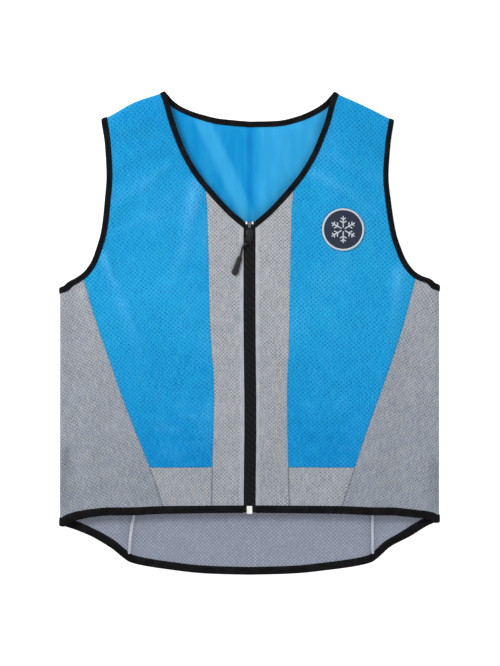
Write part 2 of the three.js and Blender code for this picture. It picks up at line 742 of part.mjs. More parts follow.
// Where a binding lies on an edge: the cloth's edge and the tape's inner end, each with its normal.
function bindingFrame(cloth, i, j, stepI, stepJ, width, tangent) {
  const { grid, normals } = cloth;
  const edge = grid[i][j];
  const inwards = grid[i + stepI][j + stepJ].clone().sub(edge);
  const run = inwards.length();
  inwards.divideScalar(run);
  const slant = Math.sqrt(1 - inwards.dot(tangent) ** 2);
  const reach = (width - CLEARANCE - BINDING_WALL) / slant;
  const end = edge.clone().addScaledVector(inwards, reach);
  const endNormal = normals[i][j].clone().lerp(normals[i + stepI][j + stepJ], clamp(reach / run)).normalize();
  const outwards = inwards.clone().negate().addScaledVector(tangent, inwards.dot(tangent)).normalize();
  return { edge, normal: normals[i][j], end, endNormal, outwards };
}

// Walks along an edge of a cloth's grid: cells are [row, column] pairs, steps point into the cloth.
function edgeWalk(cloth, cells, stepI, stepJ, width) {
  const at = (k) => cloth.grid[cells[k][0]][cells[k][1]];
  return cells.map(([i, j], k) => {
    const ahead = at(Math.min(cells.length - 1, k + 1));
    const behind = at(Math.max(0, k - 1));
    const tangent = ahead.clone().sub(behind).normalize();
    return bindingFrame(cloth, i, j, stepI, stepJ, width, tangent);
  });
}

// Joins walks end to end. Where two cloths meet at a seam, their two frames become one between them.
function joinWalks(walks, closed) {
  const between = (a, b) => ({
    edge: a.edge.clone().lerp(b.edge, 0.5),
    normal: a.normal.clone().add(b.normal).normalize(),
    end: a.end.clone().lerp(b.end, 0.5),
    endNormal: a.endNormal.clone().add(b.endNormal).normalize(),
    outwards: a.outwards.clone().add(b.outwards).normalize(),
  });
  const joined = [...walks[0]];
  for (const walk of walks.slice(1)) {
    joined.push(between(joined.pop(), walk[0]), ...walk.slice(1));
  }
  if (closed) joined[0] = between(joined.pop(), joined[0]);
  return joined;
}

// The tape's section: a fold over the cloth's edge, open towards the cloth.
function bindingSection(frame) {
  const { edge, normal, end, endNormal, outwards } = frame;
  const lip = CLEARANCE + BINDING_WALL;
  const on = (base, up, height, out = 0) =>
    base.clone().addScaledVector(up, height).addScaledVector(outwards, out);
  return [
    on(end, endNormal, bindingHalf),
    on(edge, normal, bindingHalf),
    on(edge, normal, bindingHalf / 2, lip),
    on(edge, normal, -bindingHalf / 2, lip),
    on(edge, normal, -bindingHalf),
    on(end, endNormal, -bindingHalf),
    on(end, endNormal, -slotHalf),
    on(edge, normal, -slotHalf, CLEARANCE),
    on(edge, normal, slotHalf, CLEARANCE),
    on(end, endNormal, slotHalf),
  ];
}

function bindingSolid(frames, closed) {
  const rings = frames.map(bindingSection);
  const around = rings[0].length;
  const points = rings.flat();
  const triangles = [];
  const last = closed ? rings.length : rings.length - 1;
  for (let k = 0; k < last; k += 1) {
    const here = k * around;
    const next = ((k + 1) % rings.length) * around;
    for (let m = 0; m < around; m += 1) {
      const n = (m + 1) % around;
      triangles.push(...quad(here + m, here + n, next + n, next + m));
    }
  }
  if (!closed) {
    const lip = CLEARANCE + BINDING_WALL;
    const reach = BINDING_WIDTH;
    const outline = [
      [reach, bindingHalf],
      [0, bindingHalf],
      [-lip, bindingHalf / 2],
      [-lip, -bindingHalf / 2],
      [0, -bindingHalf],
      [reach, -bindingHalf],
      [reach, -slotHalf],
      [-CLEARANCE, -slotHalf],
      [-CLEARANCE, slotHalf],
      [reach, slotHalf],
    ].map(([a, b]) => new THREE.Vector2(a, b));
    const faces = THREE.ShapeUtils.triangulateShape(outline, []);
    const turn = THREE.ShapeUtils.isClockWise(outline) ? 1 : -1;
    const lastRing = (rings.length - 1) * around;
    for (const [a, b, c] of faces) {
      const ordered = turn > 0 ? [a, b, c] : [c, b, a];
      triangles.push(...ordered);
      triangles.push(...ordered.map((index) => lastRing + index).reverse());
    }
  }
  return solidGeometry(points, triangles);
}

// Cloth pieces.
const cloths = {};
function addGrid(key, name, grid, outward, wall, look) {
  const normals = gridNormals(grid, outward);
  cloths[key] = { grid, normals };
  addPiece(name, clothSolid(grid, normals, wall), look);
}

for (const side of SIDES) {
  const front = { layer: "front", side, outward: 1 };
  const { name, sign } = side;
  addGrid(`chest_${name}`, `chest_panel_${name}`, chestGrid(side), sign, CHEST_WALL, "chest");
  cloths[`strip_${name}`] = addCloth(`front_strip_${name}`, stripPlan(), {
    ...front,
    wall: MESH_WALL,
    look: "mesh",
  });
  cloths[`lower_${name}`] = addCloth(`lower_panel_${name}`, lowerPlan(), {
    ...front,
    wall: MESH_WALL,
    look: "mesh",
  });
  addGrid(`side_${name}`, `side_panel_${name}`, sidePanelGrid(side), sign, MESH_WALL, "mesh");
}

const whole = { layer: "back", side: SIDES[0], outward: -1 };
cloths.back = addCloth("back_panel", bothHalves(backPanelHalf()), {
  ...whole,
  wall: CHEST_WALL,
  look: "chest",
});
cloths.tail = addCloth("back_tail", bothHalves(tailHalf()), { ...whole, wall: MESH_WALL, look: "mesh" });

// Ridges of the seams inside the back, between the armhole's binding and the hem's.
const RIDGE_ROWS = 14;
for (const side of SIDES) {
  const from = backSeamTop + 2 * BINDING_WIDTH;
  const to = TAIL_CORNER_DOWN - 1.5 * HEM_BINDING_WIDTH;
  const plan = spaced(from, to, RIDGE_ROWS).map((down) =>
    [-0.5, 0.5].map((share) => point(backSeamX(down) + share * SEAM_RIDGE_WIDTH, down)),
  );
  addCloth(`back_seam_${side.name}`, plan, {
    layer: "back",
    side,
    outward: -1,
    wall: SEAM_RIDGE_WALL,
    look: "mesh",
    raise: (CHEST_WALL + SEAM_RIDGE_WALL) / 2 + CLEARANCE,
  });
}

// Bindings.
const lastColumn = (cloth) => cloth.grid[0].length - 1;
const lastRow = (cloth) => cloth.grid.length - 1;
const neckRow = chestBackRows.length + FOLD_STEPS + CHEST_UPPER_STEPS;
const chestCorner = neckRow + CHEST_UPPER_STEPS;
const backCentre = backColumns.length - 1;

for (const side of SIDES) {
  const chest = cloths[`chest_${side.name}`];
  const panel = cloths[`side_${side.name}`];
  const edgeColumn = side.sign > 0 ? lastColumn(cloths.back) : 0;
  const chestWalk = edgeWalk(
    chest,
    range(0, chestCorner).map((i) => [i, lastColumn(chest)]),
    0,
    -1,
    BINDING_WIDTH,
  );
  const sideWalk = edgeWalk(
    panel,
    range(0, lastColumn(panel)).map((j) => [0, j]),
    1,
    0,
    BINDING_WIDTH,
  );
  const backWalk = edgeWalk(
    cloths.back,
    range(BACK_UPPER_STEPS, 0).map((i) => [i, edgeColumn]),
    0,
    -side.sign,
    BINDING_WIDTH,
  );
  const frames = joinWalks([chestWalk, sideWalk, backWalk], true);
  addPiece(`armhole_binding_${side.name}`, bindingSolid(frames, true), "binding");
}

function frontNeckWalks(name) {
  const strip = cloths[`strip_${name}`];
  const chest = cloths[`chest_${name}`];
  return [
    edgeWalk(strip, range(0, lastColumn(strip)).map((j) => [0, j]), 1, 0, BINDING_WIDTH),
    edgeWalk(chest, range(neckRow, 0).map((i) => [i, 0]), 0, 1, BINDING_WIDTH),
  ];
}

const backNeckWalk = edgeWalk(
  cloths.back,
  range(backCentre + BACK_NECK_STEPS, backCentre - BACK_NECK_STEPS).map((j) => [0, j]),
  1,
  0,
  BINDING_WIDTH,
);
const reversed = (walks) => walks.map((walk) => walk.slice().reverse()).reverse();
const neckFrames = joinWalks(
  [...frontNeckWalks("left"), backNeckWalk, ...reversed(frontNeckWalks("right"))],
  false,
);
addPiece("neck_binding", bindingSolid(neckFrames, false), "binding");

function frontHemWalks(name) {
  const pieces = [cloths[`strip_${name}`], cloths[`lower_${name}`], cloths[`side_${name}`]];
  return pieces.map((cloth) =>
    edgeWalk(
      cloth,
      range(0, lastColumn(cloth)).map((j) => [lastRow(cloth), j]),
      -1,
      0,
      HEM_BINDING_WIDTH,
    ),
  );
}

const tailWalk = edgeWalk(
  cloths.tail,
  range(lastColumn(cloths.tail), 0).map((j) => [lastRow(cloths.tail), j]),
  -1,
  0,
  HEM_BINDING_WIDTH,
);
const hemFrames = joinWalks(
  [...frontHemWalks("left"), tailWalk, ...reversed(frontHemWalks("right"))],
  false,
);
addPiece("hem_binding", bindingSolid(hemFrames, false), "binding");

// Zip tapes, side by side between the strips, and the coil behind them.
const tapeTop = ZIP_TOP_DOWN + ZIP_TAPE_TOP_GAP;
const ZIP_ROWS = 16;

function tapePlan(inner, outer, from, to) {
  return spaced(from, to, ZIP_ROWS).map((down) => [inner, outer].map((x) => point(x, down)));
}

for (const side of SIDES) {
  addCloth(`zip_tape_${side.name}`, tapePlan(CLEARANCE / 2, zipEdge - CLEARANCE, tapeTop, FRONT_LENGTH), {
    layer: "front",
    side,
    outward: 1,
    wall: ZIP_TAPE_WALL,
    look: "zip",
    raise: -ZIP_TAPE_SINK,
  });
}
addCloth("zip_coil", tapePlan(-COIL_WIDTH / 2, COIL_WIDTH / 2, tapeTop, FRONT_LENGTH - BOX_SIZE.length), {
  layer: "front",
  side: SIDES[0],
  outward: 1,
  wall: COIL_WALL,
  look: "zip",
  raise: -ZIP_TAPE_SINK - (ZIP_TAPE_WALL + COIL_WALL) / 2 - CLEARANCE,
});

// Solids joined and cut from three.js geometries.
function toManifold(geometry) {
  const bare = geometry.clone();
  bare.deleteAttribute("normal");
  bare.deleteAttribute("uv");
  const merged = mergeVertices(bare, 1e-4);
  return new wasm.Manifold(
    new wasm.Mesh({
      numProp: 3,
      vertProperties: merged.attributes.position.array,
      triVerts: new Uint32Array(merged.index.array),
    }),
  );
}

function toGeometry(manifold) {
  const mesh = manifold.getMesh();
  const geometry = new THREE.BufferGeometry();
  geometry.setAttribute("position", new THREE.BufferAttribute(mesh.vertProperties, 3));
  geometry.setIndex(new THREE.BufferAttribute(mesh.triVerts, 1));
  return geometry;
}

function block(width, length, height, x, y, z) {
  return new THREE.BoxGeometry(width, length, height).translate(x, y, z);
}

function plate(outline, height, z) {
  return new THREE.ExtrudeGeometry(new THREE.Shape(outline), {
    depth: height,
    bevelEnabled: false,
    curveSegments: 6,
  }).translate(0, 0, z);
}

const corner = (x, y) => new THREE.Vector2(x, y);

// A group that sits on the zip tape at a distance down, tilted with it.
const tapeSurface = (down) => frontHeight(0, down) - ZIP_TAPE_SINK + ZIP_TAPE_WALL / 2;

function seatOnTape(down, length) {
  const [above, below] = [tapeSurface(down - length / 2), tapeSurface(down + length / 2)];
  const seat = new THREE.Group();
  seat.position.set(0, shift - down, Math.max(tapeSurface(down), (above + below) / 2) + CLEARANCE);
  seat.rotation.x = Math.atan2(above - below, length);
  vest.add(seat);
  return seat;
}

function addTo(group, name, geometry, look) {
  addPiece(name, geometry, look);
  group.add(vest.children[vest.children.length - 1]);
}

// Metal stops at the top of each tape and the box at its foot.
const stopSeat = seatOnTape(tapeTop + STOP_SIZE.length / 2, STOP_SIZE.length);
for (const side of SIDES) {
  const x = side.sign * (COIL_WIDTH / 2 + CLEARANCE + STOP_SIZE.width / 2);
  const clip = block(STOP_SIZE.width, STOP_SIZE.length, STOP_SIZE.height, x, 0, STOP_SIZE.height / 2);
  addTo(stopSeat, `zip_stop_${side.name}`, clip, "metal");
}
const boxSeat = seatOnTape(FRONT_LENGTH - BOX_SIZE.length / 2, BOX_SIZE.length);
const retainer = block(BOX_SIZE.width, BOX_SIZE.length, BOX_SIZE.height, 0, 0, BOX_SIZE.height / 2);
addTo(boxSeat, "zip_box", retainer, "metal");

// The slider: a tapered body with a bridge that holds the pull's pivot bar.
const pivotHeight = SLIDER_HEIGHT + CLEARANCE + PIVOT_RADIUS;
const bridgeInner = 2 * (CLEARANCE + PIVOT_RADIUS) + CLEARANCE;
const sliderSeat = seatOnTape(SLIDER_CENTRE_DOWN, SLIDER_LENGTH);

function sliderSolid() {
  const [half, nose, length] = [SLIDER_WIDTH / 2, SLIDER_NOSE_WIDTH / 2, SLIDER_LENGTH / 2];
  const outline = [
    corner(-nose, -length),
    corner(nose, -length),
    corner(half, length * 0.2),
    corner(half, length * 0.75),
    corner(nose, length),
    corner(-nose, length),
    corner(-half, length * 0.75),
    corner(-half, length * 0.2),
  ];
  const body = toManifold(plate(outline, SLIDER_HEIGHT, 0));
  const arch = BRIDGE_LENGTH / 2;
  const height = bridgeInner + BRIDGE_WALL;
  const profile = [
    corner(-arch, -1),
    corner(arch, -1),
    corner(arch, height * 0.55),
    corner(arch * 0.6, height),
    corner(-arch * 0.6, height),
    corner(-arch, height * 0.55),
  ];
  const turned = (geometry) =>
    geometry.rotateX(Math.PI / 2).rotateZ(Math.PI / 2).translate(0, 0, SLIDER_HEIGHT);
  const bridge = toManifold(turned(plate(profile, BRIDGE_WIDTH, -BRIDGE_WIDTH / 2)));
  const window = [
    corner(-arch + BRIDGE_WALL, 0),
    corner(arch - BRIDGE_WALL, 0),
    corner(arch - BRIDGE_WALL, bridgeInner * 0.7),
    corner(arch * 0.5, bridgeInner),
    corner(-arch * 0.5, bridgeInner),
    corner(-arch + BRIDGE_WALL, bridgeInner * 0.7),
  ];
  const hole = toManifold(turned(plate(window, 2 * BRIDGE_WIDTH, -BRIDGE_WIDTH)));
  return toGeometry(body.add(bridge.subtract(hole)));
}
addTo(sliderSeat, "zip_slider", sliderSolid(), "zip");

// The pull is made along -Y from its pivot, leaned to the wearer's right and laid on the strip.
const pull = new THREE.Group();
pull.position.set(0, shift - PIVOT_DOWN, sliderSeat.position.z + pivotHeight);
pull.rotation.order = "ZXY";
pull.rotation.z = -PULL_LEAN;
vest.add(pull);

const gripTop = PULL_LENGTH - GRIP_LENGTH;
const gripHalf = (along) => {
  if (along < gripTop) return [LINK_WIDTH / 2, LINK_HEIGHT / 2];
  return [mix(GRIP_TOP_WIDTH, GRIP_END_WIDTH, (along - gripTop) / GRIP_LENGTH) / 2, GRIP_HEIGHT / 2];
};

// The smallest lift about the pivot at which the pull clears the cloth along its whole length.
function restingLift() {
  const PROBES = 40;
  const needed = spaced(SLIDER_LENGTH / 2 + CLEARANCE, PULL_LENGTH, PROBES).flatMap((along) => {
    const [width, half] = gripHalf(along);
    return [-width, 0, width].map((aside) => {
      const x = -along * Math.sin(PULL_LEAN) + aside * Math.cos(PULL_LEAN);
      const down = PIVOT_DOWN + along * Math.cos(PULL_LEAN) + aside * Math.sin(PULL_LEAN);
      const cloth = frontHeight(x, down) + MESH_WALL / 2 + 2 * CLEARANCE;
      return Math.atan2(cloth + half - pull.position.z, along);
    });
  });
  return Math.max(...needed);
}
pull.rotation.x = -restingLift();

const linkEnd = -gripTop - GRIP_SOCKET_DEPTH;

function linkSolid() {
  const half = PULL_EYE_WIDTH / 2;
  const bar = toManifold(
    new THREE.CylinderGeometry(PIVOT_RADIUS, PIVOT_RADIUS, PULL_EYE_WIDTH, 10).rotateZ(Math.PI / 2),
  );
  const outline = [
    corner(-half, 0),
    corner(half, 0),
    corner(half, -PULL_EYE_LENGTH),
    corner(LINK_WIDTH / 2, -PULL_EYE_LENGTH - half),
    corner(LINK_WIDTH / 2, linkEnd),
    corner(-LINK_WIDTH / 2, linkEnd),
    corner(-LINK_WIDTH / 2, -PULL_EYE_LENGTH - half),
    corner(-half, -PULL_EYE_LENGTH),
  ];
  const body = toManifold(plate(outline, LINK_HEIGHT, -LINK_HEIGHT / 2));
  const arm = half - PIVOT_RADIUS;
  const eye = [
    corner(-arm, 1),
    corner(arm, 1),
    corner(arm, -PULL_EYE_LENGTH + PIVOT_RADIUS),
    corner(0, -PULL_EYE_LENGTH - arm / 2),
    corner(-arm, -PULL_EYE_LENGTH + PIVOT_RADIUS),
  ];
  const hole = toManifold(plate(eye, 2 * LINK_HEIGHT, -LINK_HEIGHT));
  return toGeometry(body.subtract(hole).add(bar));
}
addTo(pull, "pull_link", linkSolid(), "pull");

function gripSolid() {
  const end = -PULL_LENGTH + GRIP_END_WIDTH / 2;
  const outline = new THREE.Shape();
  outline.moveTo(-GRIP_TOP_WIDTH / 2, -gripTop);
  outline.lineTo(-GRIP_END_WIDTH / 2, end);
  outline.absarc(0, end, GRIP_END_WIDTH / 2, Math.PI, 2 * Math.PI, false);
  outline.lineTo(GRIP_TOP_WIDTH / 2, -gripTop);
  const bevel = GRIP_HEIGHT * 0.22;
  const shape = new THREE.ExtrudeGeometry(outline, {
    depth: GRIP_HEIGHT - 2 * bevel,
    bevelThickness: bevel,
    bevelSize: bevel,
    bevelOffset: -bevel,
    bevelSegments: 1,
    curveSegments: 8,
  }).translate(0, 0, -GRIP_HEIGHT / 2 + bevel);
  const length = GRIP_SOCKET_DEPTH + 2 * CLEARANCE;
  const [width, height] = [LINK_WIDTH + 2 * CLEARANCE, LINK_HEIGHT + 2 * CLEARANCE];
  const socket = block(width, length, height, 0, -gripTop + CLEARANCE - length / 2, 0);
  return toGeometry(toManifold(shape).subtract(toManifold(socket)));
}
addTo(pull, "pull_grip", gripSolid(), "pull");

// A round patch that lies on the chest panel.
const BADGE_RINGS = [0.35, 0.7, 1];
const BADGE_SECTORS = 24;

function badgeSolid() {
  const raise = CHEST_WALL / 2 + 2 * CLEARANCE + BADGE_WALL / 2;
  const spot = (radius, turn) => {
    const plan = point(BADGE_ACROSS + radius * Math.cos(turn), BADGE_DOWN + radius * Math.sin(turn));
    return place("front", SIDES[0], plan, raise);
  };
  const middle = [
    spot(0, 0),
    ...BADGE_RINGS.flatMap((ring) =>
      spaced(0, 2 * Math.PI, BADGE_SECTORS).slice(1).map((turn) => spot(ring * BADGE_RADIUS, turn)),
    ),
  ];
  const level = (amount) => middle.map((p) => p.clone().setZ(p.z + amount));
  const points = [...level(BADGE_WALL / 2), ...level(-BADGE_WALL / 2)];
  const under = middle.length;
  const at = (ring, sector) => 1 + ring * BADGE_SECTORS + (sector % BADGE_SECTORS);
  const triangles = [];
  for (let s = 0; s < BADGE_SECTORS; s += 1) {
    triangles.push(0, at(0, s), at(0, s + 1), under, under + at(0, s + 1), under + at(0, s));
    for (let r = 1; r < BADGE_RINGS.length; r += 1) {
      const [a, b, c, d] = [at(r - 1, s), at(r, s), at(r, s + 1), at(r - 1, s + 1)];
      triangles.push(...quad(a, b, c, d), ...quad(under + d, under + c, under + b, under + a));
    }
    const [a, b] = [at(BADGE_RINGS.length - 1, s), at(BADGE_RINGS.length - 1, s + 1)];
    triangles.push(...quad(b, a, under + a, under + b));
  }
  return solidGeometry(points, triangles);
}
addPiece("chest_badge", badgeSolid(), "badge");

// The origin is the middle of the footprint, on the surface that the vest lies on.
vest.updateMatrixWorld(true);
const extent = new THREE.Box3().setFromObject(vest);
const centre = extent.getCenter(new THREE.Vector3());
vest.position.set(-centre.x, -centre.y, -extent.min.z);

export default vest;
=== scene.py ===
"""A sleeveless zip-front cooling vest that lies on its back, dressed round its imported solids.

Lengths inside the functions are in millimetres and become metres where a mesh is written. "Down" runs
from the highest point of the shoulders to the hem, and left and right are the wearer's.
"""

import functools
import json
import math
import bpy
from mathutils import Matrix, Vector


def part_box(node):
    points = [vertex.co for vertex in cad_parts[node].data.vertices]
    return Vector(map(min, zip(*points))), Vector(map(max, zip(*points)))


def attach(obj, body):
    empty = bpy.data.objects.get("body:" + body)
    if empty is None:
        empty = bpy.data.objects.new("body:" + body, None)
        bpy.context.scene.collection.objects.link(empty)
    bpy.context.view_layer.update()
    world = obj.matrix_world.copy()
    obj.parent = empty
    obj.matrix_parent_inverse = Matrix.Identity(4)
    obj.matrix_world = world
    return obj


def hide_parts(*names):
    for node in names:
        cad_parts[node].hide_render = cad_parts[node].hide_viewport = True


bl_info = {
    "name": "Cooling vest",
    "version": (1, 0, 0),
    "blender": (4, 5, 0),
    "location": "3D View > Sidebar > Vest",
    "description": "Builds the cloth, tape, zip and studio of a vest that lies flat",
    "category": "Object",
}

import bpy
import numpy as np
from bpy.props import FloatProperty, PointerProperty, StringProperty
from mathutils import Vector

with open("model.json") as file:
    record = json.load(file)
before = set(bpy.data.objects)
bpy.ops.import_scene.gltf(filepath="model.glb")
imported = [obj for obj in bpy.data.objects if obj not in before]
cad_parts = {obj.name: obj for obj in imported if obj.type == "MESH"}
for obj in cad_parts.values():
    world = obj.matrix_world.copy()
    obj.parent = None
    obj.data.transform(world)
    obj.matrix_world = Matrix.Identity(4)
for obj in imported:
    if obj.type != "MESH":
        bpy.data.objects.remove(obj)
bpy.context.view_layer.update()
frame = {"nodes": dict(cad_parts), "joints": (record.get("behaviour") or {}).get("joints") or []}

MM = 0.001
SAME_POINT = 0.000002

# Widths and lengths of the body.
CHEST_WIDTH = 547
SHOULDER_SPAN = 420
SHOULDER_DROP = 41
NECK_SPAN = 244
BACK_NECK_DOWN = 43
ZIP_TOP_DOWN = 186
ARMHOLE_DOWN = 284
PANEL_SEAM_DOWN = 543
FRONT_LENGTH = 608
SIDE_LENGTH = 624
TAIL_CORNER_DOWN = 677
BACK_LENGTH = 696

# Where the seams lie.
STRIP_TOP_DOWN = 129
STRIP_WIDTH = 54
SIDE_SEAM_TOP_SHARE = 0.91
SIDE_SEAM_HEM_ACROSS = 126
BACK_SEAM_TOP_SHARE = 0.87
SHOULDER_SEAM_BACK = 14
BACK_NECK_SHARE = 0.55
TAIL_CORNER_ACROSS = 177
SEAM_GAP = 0.4
HALF_GAP = SEAM_GAP / 2
SEAM_ROLL_DEPTH = 0.6
SEAM_ROLL_HALF = 1.4
SEAM_RIDGE_WIDTH = 4.6
SEAM_RIDGE_HEIGHT = 1.7
SEAM_RIDGE_SINK = 0.15
FRONT_SHADE_HALF = 1.1
BACK_SHADE_HALF = 3.6
TWO_COLOUR_SHADE = 0.15
LEVEL_SEAM_HALF = 1.5
BACK_HOLLOW = -0.55
BACK_HOLLOW_HALF = 15

# Layers of cloth, how they rest, and how fine their meshes are.
CLOTH_WALL = 1.1
LAYER_SPACING = 12
CROWN_HEIGHT = 11
CROWN_REACH = 130
BACK_ARMHOLE_INSET = 2.5
LIFT_REACH = 25
BACK_RESTING_MIDDLE = 0.65
BACK_RIPPLE = 0.35
CELL = 2.5
STRIP_CELL = 1.2
SEAM_STEPS = (0, 0.5, 1.1, 2, 3.2)
CHEST_SPAN = 150
LOWER_SPAN = 80
SIDE_SPAN = 100
SIDE_RUN = 340
BACK_RUN = 290

# Folded tape round the edges.
TAPE_WIDTH = 7.4
HEM_TAPE_WIDTH = 10.5
TAPE_HALF = 1.8
TAPE_SLOT_HALF = 1.1
STITCH_INSET = 1.7
STITCH_HEIGHT = 1.55
ARMHOLE_DIP = 2.5

# The zip and its pull.
ZIP_WIDTH = 16
ZIP_CLEARANCE = 0.05
ZIP_TAPE_SINK = 0.4
ZIP_TAPE_WALL = 1
TOPSTITCH_ACROSS = 14.2
HEMMED_EDGE_ACROSS = 15.6
ZIP_SPREAD = 0.7
ZIP_CLOSED_HALF = 0.12
ZIP_OPENING = 1.1
BEAD_MIDDLE = 1.35
BEAD_HALF = 1.45
BEAD_HEIGHT = 0.55
BEAD_END = 2.9
FIRST_RIB = 3.9
ZIP_RIB_PITCH = 1.25
ZIP_RIB_HEIGHT = 0.16
WEAVE_SINK = 0.25
WEAVE_WALL = 0.75
COIL_PITCH = 1.6
COIL_SWELL = 0.16
COIL_ASIDE = 0.6
COIL_HALF_WIDTH = 1.1
COIL_HALF_HEIGHT = 0.6
COIL_SINK = 1.75
COIL_PARTED_RISE = 2.0
COIL_PARTED_LOSS = 0.45
TAPE_TOP_DOWN = 186.2
SLIDER_TOP_DOWN = 198
STOP_ACROSS = 4.4
STOP_DOWN = 188.2
BOX_LENGTH = 11.5
PULL_LENGTH = 61
GRIP_LENGTH = 28
PULL_ASIDE = 2.2
PULL_REST_DOWN = 235

# The pull, as [along, aside] or [along, half width] rows. The grip's are shares of its length.
LINK_BENDS = [[10.6, 0], [12.4, 0.9], [15, 2.9], [19, 3.4], [26, 2.6], [35, PULL_ASIDE]]
LINK_HALF = [[10.6, 1.3], [12, 1.7], [20, 1.6], [35, 1.7]]
EYE_CORNERS = [
    [0, -3.55], [0, 3.55], [8.8, 3.55], [11.8, 1.2], [11.8, -1.2], [8.8, -3.55], [0, -3.55],
]
GRIP_HALF = [[0, 3.3], [0.12, 3.7], [0.35, 3.8], [0.6, 4.2], [0.86, 4.7], [1, 4.7]]

# The plain patch on the wearer's left chest, with [radius or across, height] rows.
BADGE_ACROSS = 135
BADGE_DOWN = 198
BADGE_RIM_INSIDE = 27.7
BADGE_RIM_OUTSIDE = 30.5
PATCH_PROFILE = [
    [0, 1.9], [6, 1.9], [12, 1.9], [18, 1.9], [24, 1.9], [27.2, 1.9], [27.5, 1.9], [27.9, 2.5],
    [28.6, 2.8], [29.9, 2.8], [30.6, 2.5], [31, 1.9], [31, 0.9], [24, 0.9], [12, 0.9], [0, 0.9],
]
BAR_SECTION = [
    [-0.85, 1.8], [-0.75, 2.25], [-0.4, 2.4], [0.4, 2.4], [0.75, 2.25], [0.85, 1.8], [0.85, 1.6],
    [-0.85, 1.6], [-0.85, 1.8],
]

# The picture the camera frames, its sensor, and how far its axis is off the vest's, in metres.
PICTURE_HEIGHT = 666
MM_PER_PIXEL = 1.448
SENSOR = 36
CAMERA_ASIDE = 0.0007

# Shares of a drop and of a way across, as [where, how far] rows.
NECKLINE = [
    [0, 0], [0.066, 0.038], [0.222, 0.108], [0.346, 0.184], [0.455, 0.259],
    [0.611, 0.405], [0.767, 0.608], [0.922, 0.848], [1, 1],
]
BACK_NECKLINE = [[0, 1], [0.34, 0.95], [0.57, 0.8], [0.8, 0.51], [0.92, 0.26], [1, 0]]
ARMHOLE = [
    [0, 0], [0.146, -0.084], [0.328, -0.129], [0.478, -0.076], [0.657, 0.025], [0.776, 0.177],
    [0.836, 0.291], [0.896, 0.481], [0.931, 0.671], [0.961, 0.861], [1, 1],
]
STRIP_SEAM = [[0.08, 1.13], [0.25, 1.09], [0.45, 1.06], [0.65, 1], [0.85, 1], [1, 1.02]]
SIDE_SEAM = [[0, 0], [0.2, 0.161], [0.45, 0.41], [0.7, 0.69], [1, 1]]
BACK_SEAM = [[0, 0], [0.3, 0.45], [0.6, 0.85], [0.84, 1.04], [1, 1]]
FRONT_HEM = [[0, 0], [0.47, 0.04], [0.66, 0.18], [0.84, 0.32], [0.9, 0.47], [0.95, 0.78], [1, 1]]
SIDE_HEM = [[0, 0], [0.14, 0.07], [0.29, 0.18], [0.59, 0.46], [0.74, 0.62], [0.89, 0.85], [1, 1]]
TAIL_HEM = [[0, 1], [0.24, 0.95], [0.41, 0.87], [0.65, 0.62], [0.82, 0.4], [0.94, 0.18], [1, 0]]

# The folds: a crease dies out along its way; a crest gets painted highlight, a hollow painted shade.
CREASE_TAPER = 0.75
SHARP_FOLD = 3.0
CREST_HIGHLIGHT = 0.16
PAINTED_LIGHT_REACH = 2.5
DRAG_SLANT = 0.42
GRAIN_DEPTH = 0.3

# Where the wrinkles and the painted light and shade set in or fade, as (start, width) pairs
# in millimetres, and their other numbers.
CRUMPLED_BELOW = (420, 90)
CRUMPLED_WITHIN = (-155, 20)
DRAWN_BEYOND = (150, 40)
DRAWN_SLANT = 0.12
STILL_ROUND_PULL = (34, 40)
STILL_OVAL = 0.75
LOOSE_FROM_EDGE = (8, 45)
PUCKERED_FROM_EDGE = (10, 20)
PUCKER_HALF = 9
CREASED_FROM_EDGE = (7, 16)
RIPPLED_FROM_TAPE = (TAPE_WIDTH, 14)
SPREAD_FROM_ZIP = (10, 50)
# Painted light and shade along the drag lines and crumples: where it lies and how strong it is.
SHADED_BELOW = (380, 60)
SHADED_ABOVE = (-PANEL_SEAM_DOWN, 5)
SHADED_WITHIN = (-152, 20)
SHADED_BEYOND = (50, 10)
DRAG_SHADING = 0.1
CHEST_DRAG_SHADING = 0.12

# The cloths' patterns, in millimetres and, for what a node reads, metres.
BLUE_CELL = (6.9, 6.4)
GREY_CELL = (5.8, 5.3)
RIB_PITCH = 0.9
WEAVE_PITCH = 0.8
WAVES_PER_UNIT = 0.05
WAVER = 0.0024
PLAIN_BAND = (0.0138, 0.015)

# One broad painted highlight on the lining, along a fold: how far it leans, in degrees, and its middle in
# metres.
LINING_HIGHLIGHT_LEAN = 25.3
LINING_HIGHLIGHT_MIDDLE = (-0.034, 0.236)

# Seeded noise as [cell across, cell down, seed, strength], in millimetres.
NOISE = {
    "drag": (34, 105, 11, 0.62),
    "cross_drag": (17, 60, 12, 0.31),
    "pucker": (9, 14, 13, 0.16),
    "crumple": (26, 11, 14, 0.45),
    "drawn": (12, 150, 15, 0.5),
    "back_ripple": (26, 60, 21, BACK_RIPPLE),
    "tape_puff": (11, 10, 31, 0.05),
    "ridge_wander": (40, 10, 41, 0.35),
    # Painted light and shade along the drag lines and crumples.
    "drag_shading": (30, 80, 51, 1),
    "cross_drag_shading": (13, 46, 52, 0.7),
    "crumple_shading": (22, 9, 53, 0.2),
}
NOISE_CELLS = 96
NOISE_START = 40

# Soft folds as [from x, from down, to x, to down, half width, height], in millimetres.
FRONT_FOLDS = [
    [-202, 219, -170, 353, 16, 2.2],
    [-246, 316, -230, 596, 15, 2.4],
    [-164, 97, -98, 304, 27, 1.8],
    [-82, 377, -109, 590, 19, 1.8],
    [82, 334, 126, 578, 22, 2],
    [153, 85, 93, 268, 25, 1.5],
    [208, 255, 197, 401, 16, 2.4],
    [246, 365, 235, 596, 15, 2.2],
]
